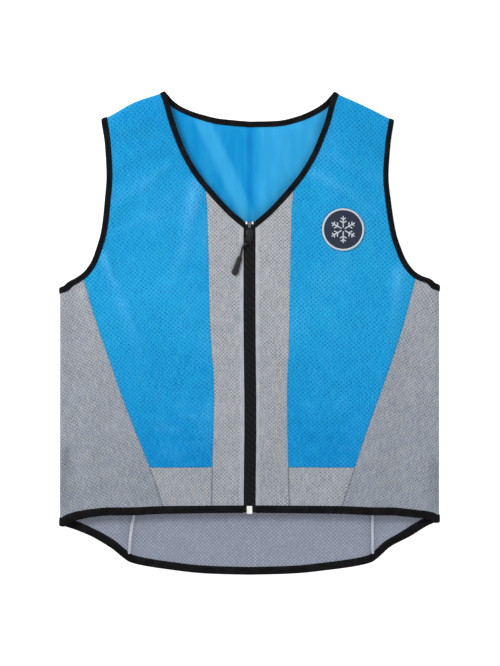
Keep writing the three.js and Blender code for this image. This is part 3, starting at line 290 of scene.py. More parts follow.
# Narrow drag folds and hollows, in the same rows.
FRONT_CREASES = [
    [-78, 132, -94, 222, 10, 3.6],
    [-94, 225, -118, 290, 9, 1.2],
    [-210, 234, -186, 306, 6.5, 2.8],
    [-186, 306, -156, 390, 9, 1.5],
    [-244, 286, -228, 372, 7, 2.0],
    [-118, 104, -190, 156, 7, 1.6],
    [-128, 72, -196, 112, 8, 0.9],
    [-140, 178, -200, 206, 7, 1.0],
    [-146, 132, -200, 168, 6, 0.8],
    [216, 258, 206, 345, 9, 3.0],
    [95, 116, 188, 172, 7, 2.0],
    [118, 92, 196, 130, 8, 1.0],
    [246, 300, 238, 440, 8, 1.0],
    [-264, 520, -250, 596, 8, -1.9],
    [-244, 440, -238, 590, 8, 1.2],
    [264, 530, 256, 596, 8, -1.7],
    [236, 420, 247, 590, 9, 0.8],
    [-26, 538, -47, 588, 6, 1.2],
    [-20, 570, -34, 500, 7, 0.8],
    [118, 560, 150, 600, 7, 0.8],
    [-150, 470, -120, 532, 9, 0.8],
]
# Where painted shade alone darkens the cloth, or painted light pales it, beside the folds.
FRONT_SHADES = [
    [-203, 124, -150, 88, 8, -1.7],
    [-203, 186, -165, 158, 7, -1.4],
    [-206, 214, -192, 262, 7, -1.7],
    [-190, 66, -150, 50, 12, -1.0],
    [-150, 62, -130, 92, 26, -0.8],
    [205, 95, 150, 40, 14, -0.9],
    [212, 200, 208, 245, 6, -1.2],
    [-272, 598, -266, 520, 8, -3.6],
    [-258, 590, -246, 612, 14, -1.2],
    [268, 598, 267, 540, 8, -2.8],
    [-266, 290, -264, 400, 13, -1.4],
    [-160, 440, -128, 540, 12, -0.8],
    [-120, 565, -170, 590, 6, -0.9],
]
BACK_FOLDS = [
    [-60, 50, -12, 160, 13, 3.2],
    [40, 60, 28, 150, 24, 3.0],
    [95, 70, 70, 120, 12, 1.5],
]

# How far the front's hem is lifted, as [across, lift] rows, up to where the side's fold starts.
HEM_LIFT = [
    [0, 0], [150, 0.3], [182, 1.0], [209, 2.0], [226, 1.3], [240, 1.3], [253, 3.5], [260, 3.3],
    [CHEST_WIDTH / 2 - LAYER_SPACING / 2, 0],
]

# How the vest lies a little askew: [x, down, half width, half height, shift across, shift down].
LIE = [
    [0, 543, 400, 70, 0, -2.4],
    [-170, 16, 38, 30, -0.8, -6.2],
    [-215, 120, 40, 90, -3.2, 0],
    [-216, 44, 14, 24, -1.8, -1.0],
    [170, 16, 40, 26, 0, -1.2],
    [215, 120, 40, 85, -3.0, 0],
    [218, 50, 16, 40, -1.2, 0],
    [272, 284, 25, 22, 0, -8.5],
    [-272, 284, 14, 20, 0, -4.5],
    [-60, 40, 60, 20, 0, -3.2],
    [274, 618, 26, 20, 0, -4.2],
    [-258, 630, 30, 16, 0, 2.4],
    [236, 640, 34, 12, 0, 2.4],
    [-215, 230, 22, 40, -1.2, 0],
    [-200, 655, 30, 12, 0, 1.0],
    [-150, 590, 50, 120, 5.0, 0],
    [-200, 380, 45, 110, 3.2, 0],
    [148, 590, 50, 110, 4.2, 0],
    [57, 600, 25, 90, 2.6, 0],
    [-54, 430, 22, 80, 3.2, 0],
    [0, 470, 20, 90, 1.4, 0],
    [0, 612, 120, 14, 0, -1.4],
    [-175, 604, 14, 22, 4.0, 0],
]

SIDES = {"left": 1, "right": -1}


def mix(a, b, share):
    return a + (b - a) * share


def ease(value):
    value = np.clip(value, 0, 1)
    return value * value * (3 - 2 * value)


def rising(value, start, width):
    """From 0 to 1 as a value passes a start, over a width."""
    return ease((value - start) / width)


def hump(distance, half):
    """1 at no distance, dying away on both sides."""
    return np.exp(-((distance / half) ** 2))


def unit(vectors):
    return vectors / np.linalg.norm(vectors, axis=-1, keepdims=True)


def squared(wave, power):
    """A circle's cosine or sine, pushed out towards a square's."""
    return np.sign(wave) * np.abs(wave) ** power


def at(*parts):
    """Points as an array whose last axis is distance across and down, or x, y and z."""
    return np.stack(np.broadcast_arrays(*parts), -1).astype(float)


def through(rows):
    """A smooth function through a table's rows."""
    xs, ys = np.array(rows, float).T
    steps = np.diff(xs)
    slopes = np.diff(ys) / steps
    before = np.concatenate([slopes[:1], slopes])
    after = np.concatenate([slopes, slopes[-1:]])
    total = np.where(before * after > 0, before + after, 1)
    tangents = np.where(before * after > 0, 2 * before * after / total, 0)

    def curve(value):
        value = np.asarray(value, float)
        k = np.clip(np.searchsorted(xs, value) - 1, 0, len(steps) - 1)
        t = np.clip((value - xs[k]) / steps[k], 0, 1)
        bend = tangents[k] * (1 - t) - tangents[k + 1] * t
        straight = ys[k] * (1 + 2 * t) * (1 - t) ** 2 + ys[k + 1] * t * t * (3 - 2 * t)
        return straight + steps[k] * t * (1 - t) * bend

    return curve


FOLD_RADIUS = LAYER_SPACING / 2
SIDE_FOLD = CHEST_WIDTH / 2
FOLD_START = SIDE_FOLD - FOLD_RADIUS
FOLD_MIDDLE = TAPE_HALF + FOLD_RADIUS
ZIP_EDGE = ZIP_WIDTH / 2
NECK_POINT = np.array([NECK_SPAN / 2, 0.0])
SHOULDER_TIP = np.array([SHOULDER_SPAN / 2, float(SHOULDER_DROP)])
SIDE_SEAM_TOP = mix(SHOULDER_DROP, ARMHOLE_DOWN, SIDE_SEAM_TOP_SHARE)
BACK_SEAM_TOP = mix(SHOULDER_DROP, ARMHOLE_DOWN, BACK_SEAM_TOP_SHARE)

neckline_curve = through(NECKLINE)
back_neck_curve = through(BACK_NECKLINE)
armhole_curve = through(ARMHOLE)
strip_curve = through(STRIP_SEAM)
side_seam_curve = through(SIDE_SEAM)
back_seam_curve = through(BACK_SEAM)
front_hem_curve = through(FRONT_HEM)
side_hem_curve = through(SIDE_HEM)
tail_hem_curve = through(TAIL_HEM)
hem_lift = through(HEM_LIFT)


def neckline_x(down):
    return mix(NECK_POINT[0], ZIP_EDGE, neckline_curve(np.asarray(down) / ZIP_TOP_DOWN))


def back_neck_down(x):
    return BACK_NECK_DOWN * back_neck_curve(np.asarray(x) / NECK_POINT[0])


def armhole_share(down):
    return (np.asarray(down) - SHOULDER_DROP) / (ARMHOLE_DOWN - SHOULDER_DROP)


def armhole_x(down):
    return mix(SHOULDER_TIP[0], FOLD_START, armhole_curve(armhole_share(down)))


def back_armhole_x(down):
    return armhole_x(down) - BACK_ARMHOLE_INSET * np.sin(np.pi * np.clip(armhole_share(down), 0, 1))


def front_hem_down(x):
    low = mix(FRONT_LENGTH, SIDE_LENGTH, front_hem_curve(np.asarray(x) / FOLD_START))
    return low - hem_lift(np.abs(x))


def strip_seam_x(down):
    share = (np.asarray(down) - STRIP_TOP_DOWN) / (FRONT_LENGTH - STRIP_TOP_DOWN)
    x = STRIP_WIDTH * strip_curve(np.maximum(share, STRIP_SEAM[0][0]))
    return mix(neckline_x(STRIP_TOP_DOWN), x, np.clip(share / STRIP_SEAM[0][0], 0, 1))


def side_seam_x(down):
    drop = front_hem_down(SIDE_SEAM_HEM_ACROSS) - SIDE_SEAM_TOP
    share = (np.asarray(down) - SIDE_SEAM_TOP) / drop
    return mix(armhole_x(SIDE_SEAM_TOP), SIDE_SEAM_HEM_ACROSS, side_seam_curve(share))


def back_seam_x(down):
    share = (np.asarray(down) - BACK_SEAM_TOP) / (TAIL_CORNER_DOWN - BACK_SEAM_TOP)
    return mix(back_armhole_x(BACK_SEAM_TOP), TAIL_CORNER_ACROSS, back_seam_curve(share))


def back_hem_down(x):
    x = np.asarray(x, float)
    share = (FOLD_START - x) / (FOLD_START - TAIL_CORNER_ACROSS)
    outside = mix(SIDE_LENGTH, TAIL_CORNER_DOWN, side_hem_curve(share))
    inside = mix(TAIL_CORNER_DOWN, BACK_LENGTH, tail_hem_curve(x / TAIL_CORNER_ACROSS))
    return np.where(x > TAIL_CORNER_ACROSS, outside, inside)


def sampled(start, end, place, steps=48):
    return place(np.linspace(start, end, steps + 1))


FRONT_EDGES = [
    sampled(0, ZIP_TOP_DOWN, lambda down: at(neckline_x(down), down)),
    sampled(SHOULDER_DROP, ARMHOLE_DOWN, lambda down: at(armhole_x(down), down)),
    sampled(0, FOLD_START, lambda x: at(x, front_hem_down(x))),
]
BACK_EDGES = [
    sampled(0, NECK_POINT[0], lambda x: at(x, back_neck_down(x))),
    sampled(SHOULDER_DROP, ARMHOLE_DOWN, lambda down: at(back_armhole_x(down), down)),
    sampled(0, FOLD_START, lambda x: at(x, back_hem_down(x))),
]
FOLD_LINES = [
    np.array([NECK_POINT, SHOULDER_TIP]),
    np.array([[SIDE_FOLD, ARMHOLE_DOWN], [SIDE_FOLD, SIDE_LENGTH]], float),
]
FRONT_SEAMS = [
    sampled(STRIP_TOP_DOWN, FRONT_LENGTH, lambda down: at(strip_seam_x(down), down)),
    sampled(SIDE_SEAM_TOP, FRONT_LENGTH + 3, lambda down: at(side_seam_x(down), down)),
    at(
        np.array([strip_seam_x(PANEL_SEAM_DOWN), side_seam_x(PANEL_SEAM_DOWN)]),
        PANEL_SEAM_DOWN,
    ),
]
BACK_SEAMS = [
    sampled(BACK_SEAM_TOP, TAIL_CORNER_DOWN, lambda down: at(back_seam_x(down), down)),
    at(np.array([0.0, float(back_seam_x(PANEL_SEAM_DOWN))]), PANEL_SEAM_DOWN),
]


def distance_to(x, down, line):
    """How far points lie from a line of points, both in plan."""
    start, run = line[:-1], np.diff(line, axis=0)
    spot = at(np.abs(x), down)[..., None, :]
    along = np.clip(((spot - start) * run).sum(-1) / (run**2).sum(-1), 0, 1)
    return np.linalg.norm(spot - start - run * along[..., None], axis=-1).min(-1)


def nearest(x, down, lines):
    return np.min([distance_to(x, down, line) for line in lines], axis=0)


def smooth_nearest(x, down, lines):
    """Like nearest, without a crease where two lines are as near as each other."""
    power = 5
    total = sum((distance_to(x, down, line) + 0.001) ** -power for line in lines)
    return total ** (-1 / power)


def fold_distance(x, down):
    dx, dy = SHOULDER_TIP - NECK_POINT
    from_shoulder = (down * dx - (np.abs(x) - NECK_POINT[0]) * dy) / np.hypot(dx, dy)
    return np.maximum(0, np.minimum(from_shoulder, SIDE_FOLD - np.abs(x)))


def round_off(distance):
    return np.sqrt(1 - (1 - np.clip(distance / FOLD_RADIUS, 0, 1)) ** 2)


def soft_noise(x, y, kind):
    """Smooth seeded noise of one kind, between plus and minus its strength."""
    cell_x, cell_y, seed, strength = NOISE[kind]
    table = np.random.default_rng(seed).uniform(-1, 1, (NOISE_CELLS + 1, NOISE_CELLS + 1))
    u = np.asarray(x) / cell_x + NOISE_START
    v = np.asarray(y) / cell_y + NOISE_START
    i, j = np.floor(u).astype(int), np.floor(v).astype(int)
    s, t = ease(u - i), ease(v - j)
    i, j = i % NOISE_CELLS, j % NOISE_CELLS
    upper = mix(table[i, j], table[i + 1, j], s)
    lower = mix(table[i, j + 1], table[i + 1, j + 1], s)
    return strength * mix(upper, lower, t)


def folds_height(x, down, folds, taper=0.0):
    total = 0
    for from_x, from_down, to_x, to_down, half, height in folds:
        start = np.array([from_x, from_down], float)
        run = np.array([to_x, to_down], float) - start
        offset = at(x, down) - start
        along = np.clip((offset @ run) / (run @ run), 0, 1)
        away = np.linalg.norm(offset - along[..., None] * run, axis=-1) / half
        total = total + height * (1 - taper * ease(along)) * np.exp(-away * away)
    return total


def wrinkles(x, down, from_edge, away_from_seam):
    """Drag lines in the loose cloth and fine puckers beside the seams, quiet round the zip's pull."""
    slant = down * DRAG_SLANT * np.sign(x)
    drag = soft_noise(x + slant, down, "drag") + soft_noise(x - slant, down, "cross_drag")
    crumple = soft_noise(x, down, "crumple") * rising(down, *CRUMPLED_BELOW)
    crumple = crumple * rising(-np.abs(x), *CRUMPLED_WITHIN)
    drawn = soft_noise(x - DRAWN_SLANT * slant, down, "drawn") * rising(np.abs(x), *DRAWN_BEYOND)
    still = rising(np.hypot(x, (down - PULL_REST_DOWN) * STILL_OVAL), *STILL_ROUND_PULL)
    loose = rising(from_edge, *LOOSE_FROM_EDGE) * still
    pucker = soft_noise(x, down, "pucker") * hump(away_from_seam, PUCKER_HALF)
    pucker = pucker * rising(from_edge, *PUCKERED_FROM_EDGE) * still
    height = (drag + crumple + drawn) * loose + pucker
    return bpy.context.scene.vest_cloth.wrinkle / MM * height


def front_height(x, down, sewn=True):
    """Height of the middle of the front layer's cloth over the floor, before it is lifted."""
    x, down = np.broadcast_arrays(np.asarray(x, float), np.asarray(down, float))
    from_edge = smooth_nearest(x, down, FRONT_EDGES + FOLD_LINES)
    seam = nearest(x, down, FRONT_SEAMS)
    settled = rising(from_edge, 2 * TAPE_WIDTH, CROWN_REACH / 2)
    crown = CROWN_HEIGHT * ease(from_edge / CROWN_REACH)
    top = FOLD_RADIUS + crown + settled * folds_height(x, down, FRONT_FOLDS)
    top = top + rising(from_edge, *CREASED_FROM_EDGE) * folds_height(x, down, FRONT_CREASES, CREASE_TAPER)
    top = top + wrinkles(x, down, from_edge, seam)
    rounded = FOLD_MIDDLE + top * round_off(fold_distance(x, down))
    return rounded - seam_roll(seam) * sewn


def back_height(x, down):
    """Height of the middle of the back layer's cloth, which rests on the floor."""
    x, down = np.broadcast_arrays(np.asarray(x, float), np.asarray(down, float))
    from_edge = nearest(x, down, BACK_EDGES)
    resting = rising(from_edge, HEM_TAPE_WIDTH, LIFT_REACH)
    bottom = FOLD_RADIUS + (TAPE_HALF - BACK_RESTING_MIDDLE) * resting
    flat = FOLD_MIDDLE - bottom * round_off(fold_distance(x, down))
    lifted = rising(from_edge, *RIPPLED_FROM_TAPE)
    ripple = BACK_RIPPLE + soft_noise(x, down, "back_ripple")
    return flat + lifted * (folds_height(x, down, BACK_FOLDS) + ripple)


def seam_roll(distance):
    """How deep the cloth turns in at a seam."""
    return SEAM_ROLL_DEPTH * hump(distance, SEAM_ROLL_HALF)


def seam_shade(grid_points):
    """Shares of the shade in the seams' hollows, for a piece's points. Two colours hardly show one."""
    x, down = grid_points[..., 0], -grid_points[..., 1]
    front = hump(nearest(x, down, FRONT_SEAMS), FRONT_SHADE_HALF)
    front = np.where(down < PANEL_SEAM_DOWN + LEVEL_SEAM_HALF, TWO_COLOUR_SHADE * front, front)
    back = hump(nearest(x, down, BACK_SEAMS), BACK_SHADE_HALF)
    return np.where(grid_points[..., 2] > FOLD_MIDDLE, front, back)


def painted_light_share(grid_points):
    """How far a piece's points lie on a crest, or below zero in a hollow, as shares of a sharp fold:
    the painted highlight on crests and painted shade in hollows. The front also gets painted light
    and shade along its drag lines, and the back is painted darker beside its seams.
    """
    x, down = grid_points[..., 0], -grid_points[..., 1]
    slant = down * DRAG_SLANT * np.sign(x)
    # Painted highlight on the creases' crests and painted shade in their hollows, with painted shade beside
    # the folds.
    creases = folds_height(x, down, FRONT_CREASES, CREASE_TAPER)
    front = (creases + folds_height(x, down, FRONT_SHADES)) / SHARP_FOLD
    # Painted light and shade along the drag lines, more on the chest, with crumples on its lower part.
    drag = soft_noise(x + slant, down, "drag_shading") + soft_noise(x - slant, down, "cross_drag_shading")
    chest = rising(-np.abs(x), *SHADED_WITHIN) * rising(np.abs(x), *SHADED_BEYOND)
    low_chest = rising(down, *SHADED_BELOW) * rising(-down, *SHADED_ABOVE) * chest
    front = front + (DRAG_SHADING + CHEST_DRAG_SHADING * chest) * drag
    front = front + soft_noise(x, down, "crumple_shading") * low_chest
    # The back is painted darker beside its seams.
    back = BACK_HOLLOW * hump(nearest(x, down, BACK_SEAMS[:1]), BACK_HOLLOW_HALF)
    return np.where(grid_points[..., 2] > FOLD_MIDDLE, front, back)


def placed(plan, sign, layer):
    """A layer's points over the floor, for its points in plan on one side."""
    height = front_height if layer == "front" else back_height
    x = sign * plan[..., 0]
    return at(x, -plan[..., 1], height(x, plan[..., 1]))


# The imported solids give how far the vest's own origin lies from the sizes above.
badge_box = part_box("chest_badge")
back_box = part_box("back_panel")
BADGE_MIDDLE = (badge_box[0] + badge_box[1]) / 2 / MM
BACK_FLOOR = back_box[0].z / MM
CAD_BACK_WALL = 1.6
SHIFT = np.array([
    BADGE_MIDDLE.x - BADGE_ACROSS,
    BADGE_MIDDLE.y + BADGE_DOWN,
    BACK_FLOOR - (BACK_RESTING_MIDDLE - CAD_BACK_WALL / 2),
])


def lying(points):
    """Points in metres, moved to where the vest lies."""
    x, down = points[..., 0], -points[..., 1]
    moved = points.copy()
    for from_x, from_down, half_x, half_down, across, below in LIE:
        share = np.exp(-(((x - from_x) / half_x) ** 2) - ((down - from_down) / half_down) ** 2)
        moved[..., 0] += share * across
        moved[..., 1] -= share * below
    beside_zip = ease(np.abs(x) / ZIP_EDGE) * (1 - rising(np.abs(x), *SPREAD_FROM_ZIP))
    moved[..., 0] += ZIP_SPREAD * np.sign(x) * beside_zip
    return (moved + SHIFT) * MM


def spread(length, step, tight_start=False, tight_end=False):
    """Shares from 0 to 1 at about a step in millimetres, with more of them beside a seam."""
    ends = np.array(SEAM_STEPS)
    start = ends if tight_start else ends[:1]
    end = length - (ends if tight_end else ends[:1])[::-1]
    count = max(1, round((end[0] - start[-1]) / step))
    middle = np.linspace(start[-1], end[0], count + 1)
    return np.concatenate([start[:-1], middle, end[1:]]) / length


def coons(top, bottom, inner, outer, columns, rows):
    """A patch in plan between four edges, each a function of shares."""
    t, v = columns[None, :, None], rows[:, None, None]
    between = mix(top(columns)[None], bottom(columns)[None], v)
    between = between + mix(inner(rows)[:, None], outer(rows)[:, None], t)
    ends = np.array([0.0, 1.0])
    left, right = inner(ends), outer(ends)
    return between - mix(mix(left[0], right[0], t), mix(left[1], right[1], t), v)


def pull_in(plan, top=0, bottom=0, inner=0, outer=0):
    """Moves a patch's sewn edges in by half a seam's gap."""
    plan = plan.copy()

    def toward(edge, neighbour, amount):
        return edge + unit(neighbour - edge) * amount

    if top:
        plan[0] = toward(plan[0], plan[1], top)
    if bottom:
        plan[-1] = toward(plan[-1], plan[-2], bottom)
    if inner:
        plan[:, 0] = toward(plan[:, 0], plan[:, 1], inner)
    if outer:
        plan[:, -1] = toward(plan[:, -1], plan[:, -2], outer)
    return plan


def arc_lengths(line):
    """Distance along points from the first one."""
    steps = np.linalg.norm(np.diff(line, axis=0), axis=-1)
    return np.concatenate([np.zeros_like(steps[:1]), np.cumsum(steps, axis=0)])


FOLD_TURNS = np.linspace(0, np.pi / 2, 8)
FOLD_SHARES = 1 - np.cos(FOLD_TURNS)
NEARLY = 1e-9


def seam_ends():
    """The ends of the seam behind the shoulder, on the back neckline and the armhole."""
    x = np.linspace(0, NECK_POINT[0], 4000)
    behind = fold_distance(x, back_neck_down(x))
    neck_x = x[np.nonzero(behind >= SHOULDER_SEAM_BACK)[0][-1]]
    down = np.linspace(SHOULDER_DROP, ARMHOLE_DOWN / 2, 4000)
    below = fold_distance(back_armhole_x(down), down)
    arm_down = down[np.nonzero(below >= SHOULDER_SEAM_BACK)[0][0]]
    return at(neck_x, back_neck_down(neck_x)), at(back_armhole_x(arm_down), arm_down)


SEAM_NECK, SEAM_ARM = seam_ends()


def chest_grid(sign):
    """Over the shoulder from the seam behind it, then down the front to the level seam."""
    strip_top = STRIP_TOP_DOWN / SIDE_SEAM_TOP
    slope = math.atan2(SHOULDER_DROP, SHOULDER_TIP[0] - NECK_POINT[0])
    fold_end = FOLD_RADIUS / math.cos(slope) / SIDE_SEAM_TOP
    columns = spread(CHEST_SPAN, CELL, True, True)
    straight = SHOULDER_SEAM_BACK - FOLD_RADIUS
    behind = SHOULDER_SEAM_BACK - spread(straight, CELL, True) * straight
    behind = np.concatenate([behind, FOLD_SHARES[-2:0:-1] * FOLD_RADIUS])
    share = (behind / SHOULDER_SEAM_BACK)[:, None]
    inner = mix(NECK_POINT, SEAM_NECK, share)
    outer = mix(SHOULDER_TIP, SEAM_ARM, share)
    for edge in (inner, outer):
        edge[0] += unit(edge[1] - edge[0]) * HALF_GAP
    back = mix(inner[:, None], outer[:, None], columns[None, :, None])

    rows = np.concatenate([
        FOLD_SHARES * fold_end,
        mix(fold_end, strip_top, np.linspace(0, 1, 41)[1:]),
        mix(strip_top, 1, np.linspace(0, 1, 48)[1:]),
        1 + spread(PANEL_SEAM_DOWN - SIDE_SEAM_TOP, CELL, False, True)[1:],
    ])
    lower = mix(SIDE_SEAM_TOP, PANEL_SEAM_DOWN, np.clip(rows - 1, 0, 1))
    inner_down = np.where(rows <= 1, rows * SIDE_SEAM_TOP, lower)
    outer_down = np.where(rows <= 1, mix(SHOULDER_DROP, SIDE_SEAM_TOP, rows), lower)
    beside_strip = rows >= strip_top - NEARLY
    inner_x = np.where(beside_strip, strip_seam_x(inner_down) + HALF_GAP, neckline_x(inner_down))
    outer_x = np.where(rows <= 1, armhole_x(outer_down), side_seam_x(outer_down) - HALF_GAP)
    inner, outer = at(inner_x, inner_down), at(outer_x, outer_down)
    front = pull_in(mix(inner[:, None], outer[:, None], columns[None, :, None]), bottom=HALF_GAP)
    points = np.concatenate([placed(back, sign, "back"), placed(front, sign, "front")])
    flat = points[..., :2].copy()
    first = len(back) + len(FOLD_SHARES)
    wrap = arc_lengths(points[first::-1])[::-1]
    flat[: first + 1, :, 1] = points[first, :, 1] + wrap
    return points, flat


def strip_grid(sign):
    """The grey strip beside the zip."""
    seam_x = float(strip_seam_x(FRONT_LENGTH))

    def top(t):
        down = mix(ZIP_TOP_DOWN, STRIP_TOP_DOWN, t)
        return at(neckline_x(down), down)

    def bottom(t):
        x = mix(ZIP_EDGE, seam_x, t)
        return at(x, front_hem_down(x))

    def inner(v):
        return at(ZIP_EDGE, mix(ZIP_TOP_DOWN, FRONT_LENGTH, v))

    def outer(v):
        down = mix(STRIP_TOP_DOWN, front_hem_down(seam_x), v)
        return at(strip_seam_x(down), down)

    columns = spread(STRIP_WIDTH - ZIP_EDGE, STRIP_CELL, True, True)
    rows = spread(FRONT_LENGTH - ZIP_TOP_DOWN, CELL)
    plan = pull_in(coons(top, bottom, inner, outer, columns, rows), outer=HALF_GAP)
    points = placed(plan, sign, "front")
    across = np.abs(points[..., 0])
    doubled = 0.45 * (1 - rising(across, HEMMED_EDGE_ACROSS, 1.6))
    stitched = 0.4 * hump(across - TOPSTITCH_ACROSS, 0.9)
    below_tape = rising(np.linalg.norm(plan - plan[:1], axis=-1), TAPE_WIDTH, 8)
    above_hem = rising(np.linalg.norm(plan - plan[-1:], axis=-1), HEM_TAPE_WIDTH, 8)
    points[..., 2] += (doubled - stitched) * below_tape * above_hem
    return points, points[..., :2].copy()


def lower_grid(sign):
    """The grey panel under the blue one."""
    inner_x = float(strip_seam_x(FRONT_LENGTH))
    outer_x = SIDE_SEAM_HEM_ACROSS

    def top(t):
        x = mix(strip_seam_x(PANEL_SEAM_DOWN), side_seam_x(PANEL_SEAM_DOWN), t)
        return at(x, PANEL_SEAM_DOWN)

    def bottom(t):
        x = mix(inner_x, outer_x, t)
        return at(x, front_hem_down(x))

    def inner(v):
        down = mix(PANEL_SEAM_DOWN, front_hem_down(inner_x), v)
        return at(strip_seam_x(down), down)

    def outer(v):
        down = mix(PANEL_SEAM_DOWN, front_hem_down(outer_x), v)
        return at(side_seam_x(down), down)

    columns = spread(LOWER_SPAN, CELL, True, True)
    rows = spread(FRONT_LENGTH - PANEL_SEAM_DOWN, CELL, True)
    plan = coons(top, bottom, inner, outer, columns, rows)
    plan = pull_in(plan, top=HALF_GAP, inner=HALF_GAP, outer=HALF_GAP)
    points = placed(plan, sign, "front")
    return points, points[..., :2].copy()


def seam_down(v, top, bottom):
    """Distances down a side's seam: seven shares above the level seam and three below it."""
    steps = v * 10
    upper = mix(top, PANEL_SEAM_DOWN, steps / 7)
    return np.where(steps <= 7, upper, mix(PANEL_SEAM_DOWN, bottom, (steps - 7) / 3))


def side_grid(sign):
    """The side panel: its front half, the round fold and its back half are one cloth."""
    rows = spread(SIDE_RUN, CELL)
    columns = spread(SIDE_SPAN, CELL, True)
    hem_x = SIDE_SEAM_HEM_ACROSS

    def fold_edge(v):
        return at(FOLD_START, mix(ARMHOLE_DOWN, SIDE_LENGTH, v))

    def front_top(t):
        down = mix(SIDE_SEAM_TOP, ARMHOLE_DOWN, t)
        return at(armhole_x(down), down)

    def front_bottom(t):
        x = mix(hem_x, FOLD_START, t)
        return at(x, front_hem_down(x))

    def front_inner(v):
        down = seam_down(v, SIDE_SEAM_TOP, front_hem_down(hem_x))
        return at(side_seam_x(down), down)

    def back_top(t):
        down = mix(BACK_SEAM_TOP, ARMHOLE_DOWN, t)
        return at(back_armhole_x(down), down)

    def back_bottom(t):
        x = mix(TAIL_CORNER_ACROSS, FOLD_START, t)
        return at(x, back_hem_down(x))

    def back_inner(v):
        down = seam_down(v, BACK_SEAM_TOP, TAIL_CORNER_DOWN)
        return at(back_seam_x(down), down)

    front = coons(front_top, front_bottom, front_inner, fold_edge, columns, rows)
    back = coons(back_top, back_bottom, back_inner, fold_edge, columns, rows)
    front = pull_in(front, inner=HALF_GAP)
    back = pull_in(back, inner=HALF_GAP)[:, ::-1]
    dip = ARMHOLE_DIP * np.cos(FOLD_TURNS[-2::-1])[None]
    down = mix(ARMHOLE_DOWN + dip, SIDE_LENGTH, rows[:, None])
    rounded = at(SIDE_FOLD - FOLD_RADIUS * FOLD_SHARES[None, -2::-1], down)
    points = np.concatenate(
        [
            placed(front, sign, "front"),
            placed(rounded, sign, "front"),
            placed(rounded[:, -2::-1], sign, "back"),
            placed(back, sign, "back"),
        ],
        axis=1,
    )
    start = front.shape[1] - 1
    end = points.shape[1] - back.shape[1]
    flat = points[..., :2].copy()
    wrap = arc_lengths(points[:, start : end + 1].transpose(1, 0, 2)).T
    flat[:, start : end + 1, 0] = sign * (FOLD_START + wrap)
    flat[:, end:, 0] = sign * (FOLD_START + wrap[:, -1:] + FOLD_START - np.abs(points[:, end:, 0]))
    return points, flat


def both_halves(half):
    mirrored = half[:, :0:-1].copy()
    mirrored[..., 0] *= -1
    return np.concatenate([mirrored, half], axis=1)


def back_grid():
    """The blue back, from the neckline and the shoulder seams down to its level seam."""
    seam_row = float((BACK_SEAM_TOP - SEAM_ARM[1]) / (PANEL_SEAM_DOWN - SEAM_ARM[1]))

    def top(t):
        x = SEAM_NECK[0] * np.minimum(t / BACK_NECK_SHARE, 1)
        seam = mix(SEAM_NECK, SEAM_ARM, ((t - BACK_NECK_SHARE) / (1 - BACK_NECK_SHARE))[:, None])
        return np.where((t <= BACK_NECK_SHARE)[:, None], at(x, back_neck_down(x)), seam)

    def bottom(t):
        return at(back_seam_x(PANEL_SEAM_DOWN) * t, PANEL_SEAM_DOWN)

    def inner(v):
        return at(0, mix(BACK_NECK_DOWN, PANEL_SEAM_DOWN, v))

    def outer(v):
        down = mix(SEAM_ARM[1], PANEL_SEAM_DOWN, v)
        return at(np.where(v <= seam_row + NEARLY, back_armhole_x(down), back_seam_x(down)), down)

    neck = BACK_NECK_SHARE * np.linspace(0, 1, 41)
    columns = np.concatenate([neck, mix(BACK_NECK_SHARE, 1, np.linspace(0, 1, 31)[1:])])
    upper = seam_row * np.linspace(0, 1, 61)
    rows = np.concatenate([upper, mix(seam_row, 1, spread(BACK_RUN, CELL, False, True)[1:])])
    half = pull_in(coons(top, bottom, inner, outer, columns, rows), bottom=HALF_GAP)
    half[0, len(neck) :, 1] += HALF_GAP
    half[len(upper) :, -1, 0] -= HALF_GAP
    points = placed(both_halves(half), 1, "back")
    return points, points[..., :2].copy()


def tail_grid():
    """The grey tail under the blue back."""

    def top(t):
        return at(back_seam_x(PANEL_SEAM_DOWN) * t, PANEL_SEAM_DOWN)

    def bottom(t):
        x = TAIL_CORNER_ACROSS * t
        return at(x, back_hem_down(x))

    def inner(v):
        return at(0, mix(PANEL_SEAM_DOWN, BACK_LENGTH, v))

    def outer(v):
        down = mix(PANEL_SEAM_DOWN, TAIL_CORNER_DOWN, v)
        return at(back_seam_x(down), down)

    columns = spread(TAIL_CORNER_ACROSS, CELL, False, True)
    rows = spread(BACK_LENGTH - PANEL_SEAM_DOWN, CELL, True)
    half = pull_in(coons(top, bottom, inner, outer, columns, rows), top=HALF_GAP, outer=HALF_GAP)
    points = placed(both_halves(half), 1, "back")
    return points, points[..., :2].copy()


def deselect():
    bpy.ops.object.select_all(action="DESELECT")


def select_only(obj):
    deselect()
    obj.select_set(True)
    bpy.context.view_layer.objects.active = obj


def in_edit_mode(obj, *steps):
    """Runs edit-mode operators on all of an object's mesh."""
    select_only(obj)
    bpy.ops.object.mode_set(mode="EDIT")
    bpy.ops.mesh.select_all(action="SELECT")
    for step in steps:
        step()
    bpy.ops.object.mode_set(mode="OBJECT")


def merge(distance):
    return lambda: bpy.ops.mesh.remove_doubles(threshold=distance)


def face_outwards():
    bpy.ops.mesh.normals_make_consistent(inside=False)


def close_shell(obj, ends=True):
    """Sews a rolled grid along its meeting edges, and caps its two ends."""
    steps = [merge(SAME_POINT)]
    if ends:
        steps += [
            lambda: bpy.ops.mesh.select_all(action="DESELECT"),
            lambda: bpy.ops.mesh.select_non_manifold(),
            lambda: bpy.ops.mesh.edge_face_add(),
            lambda: bpy.ops.mesh.select_all(action="SELECT"),
        ]
    in_edit_mode(obj, *steps, face_outwards)


def apply_modifiers(obj):
    select_only(obj)
    for modifier in list(obj.modifiers):
        bpy.ops.object.modifier_apply(modifier=modifier.name)


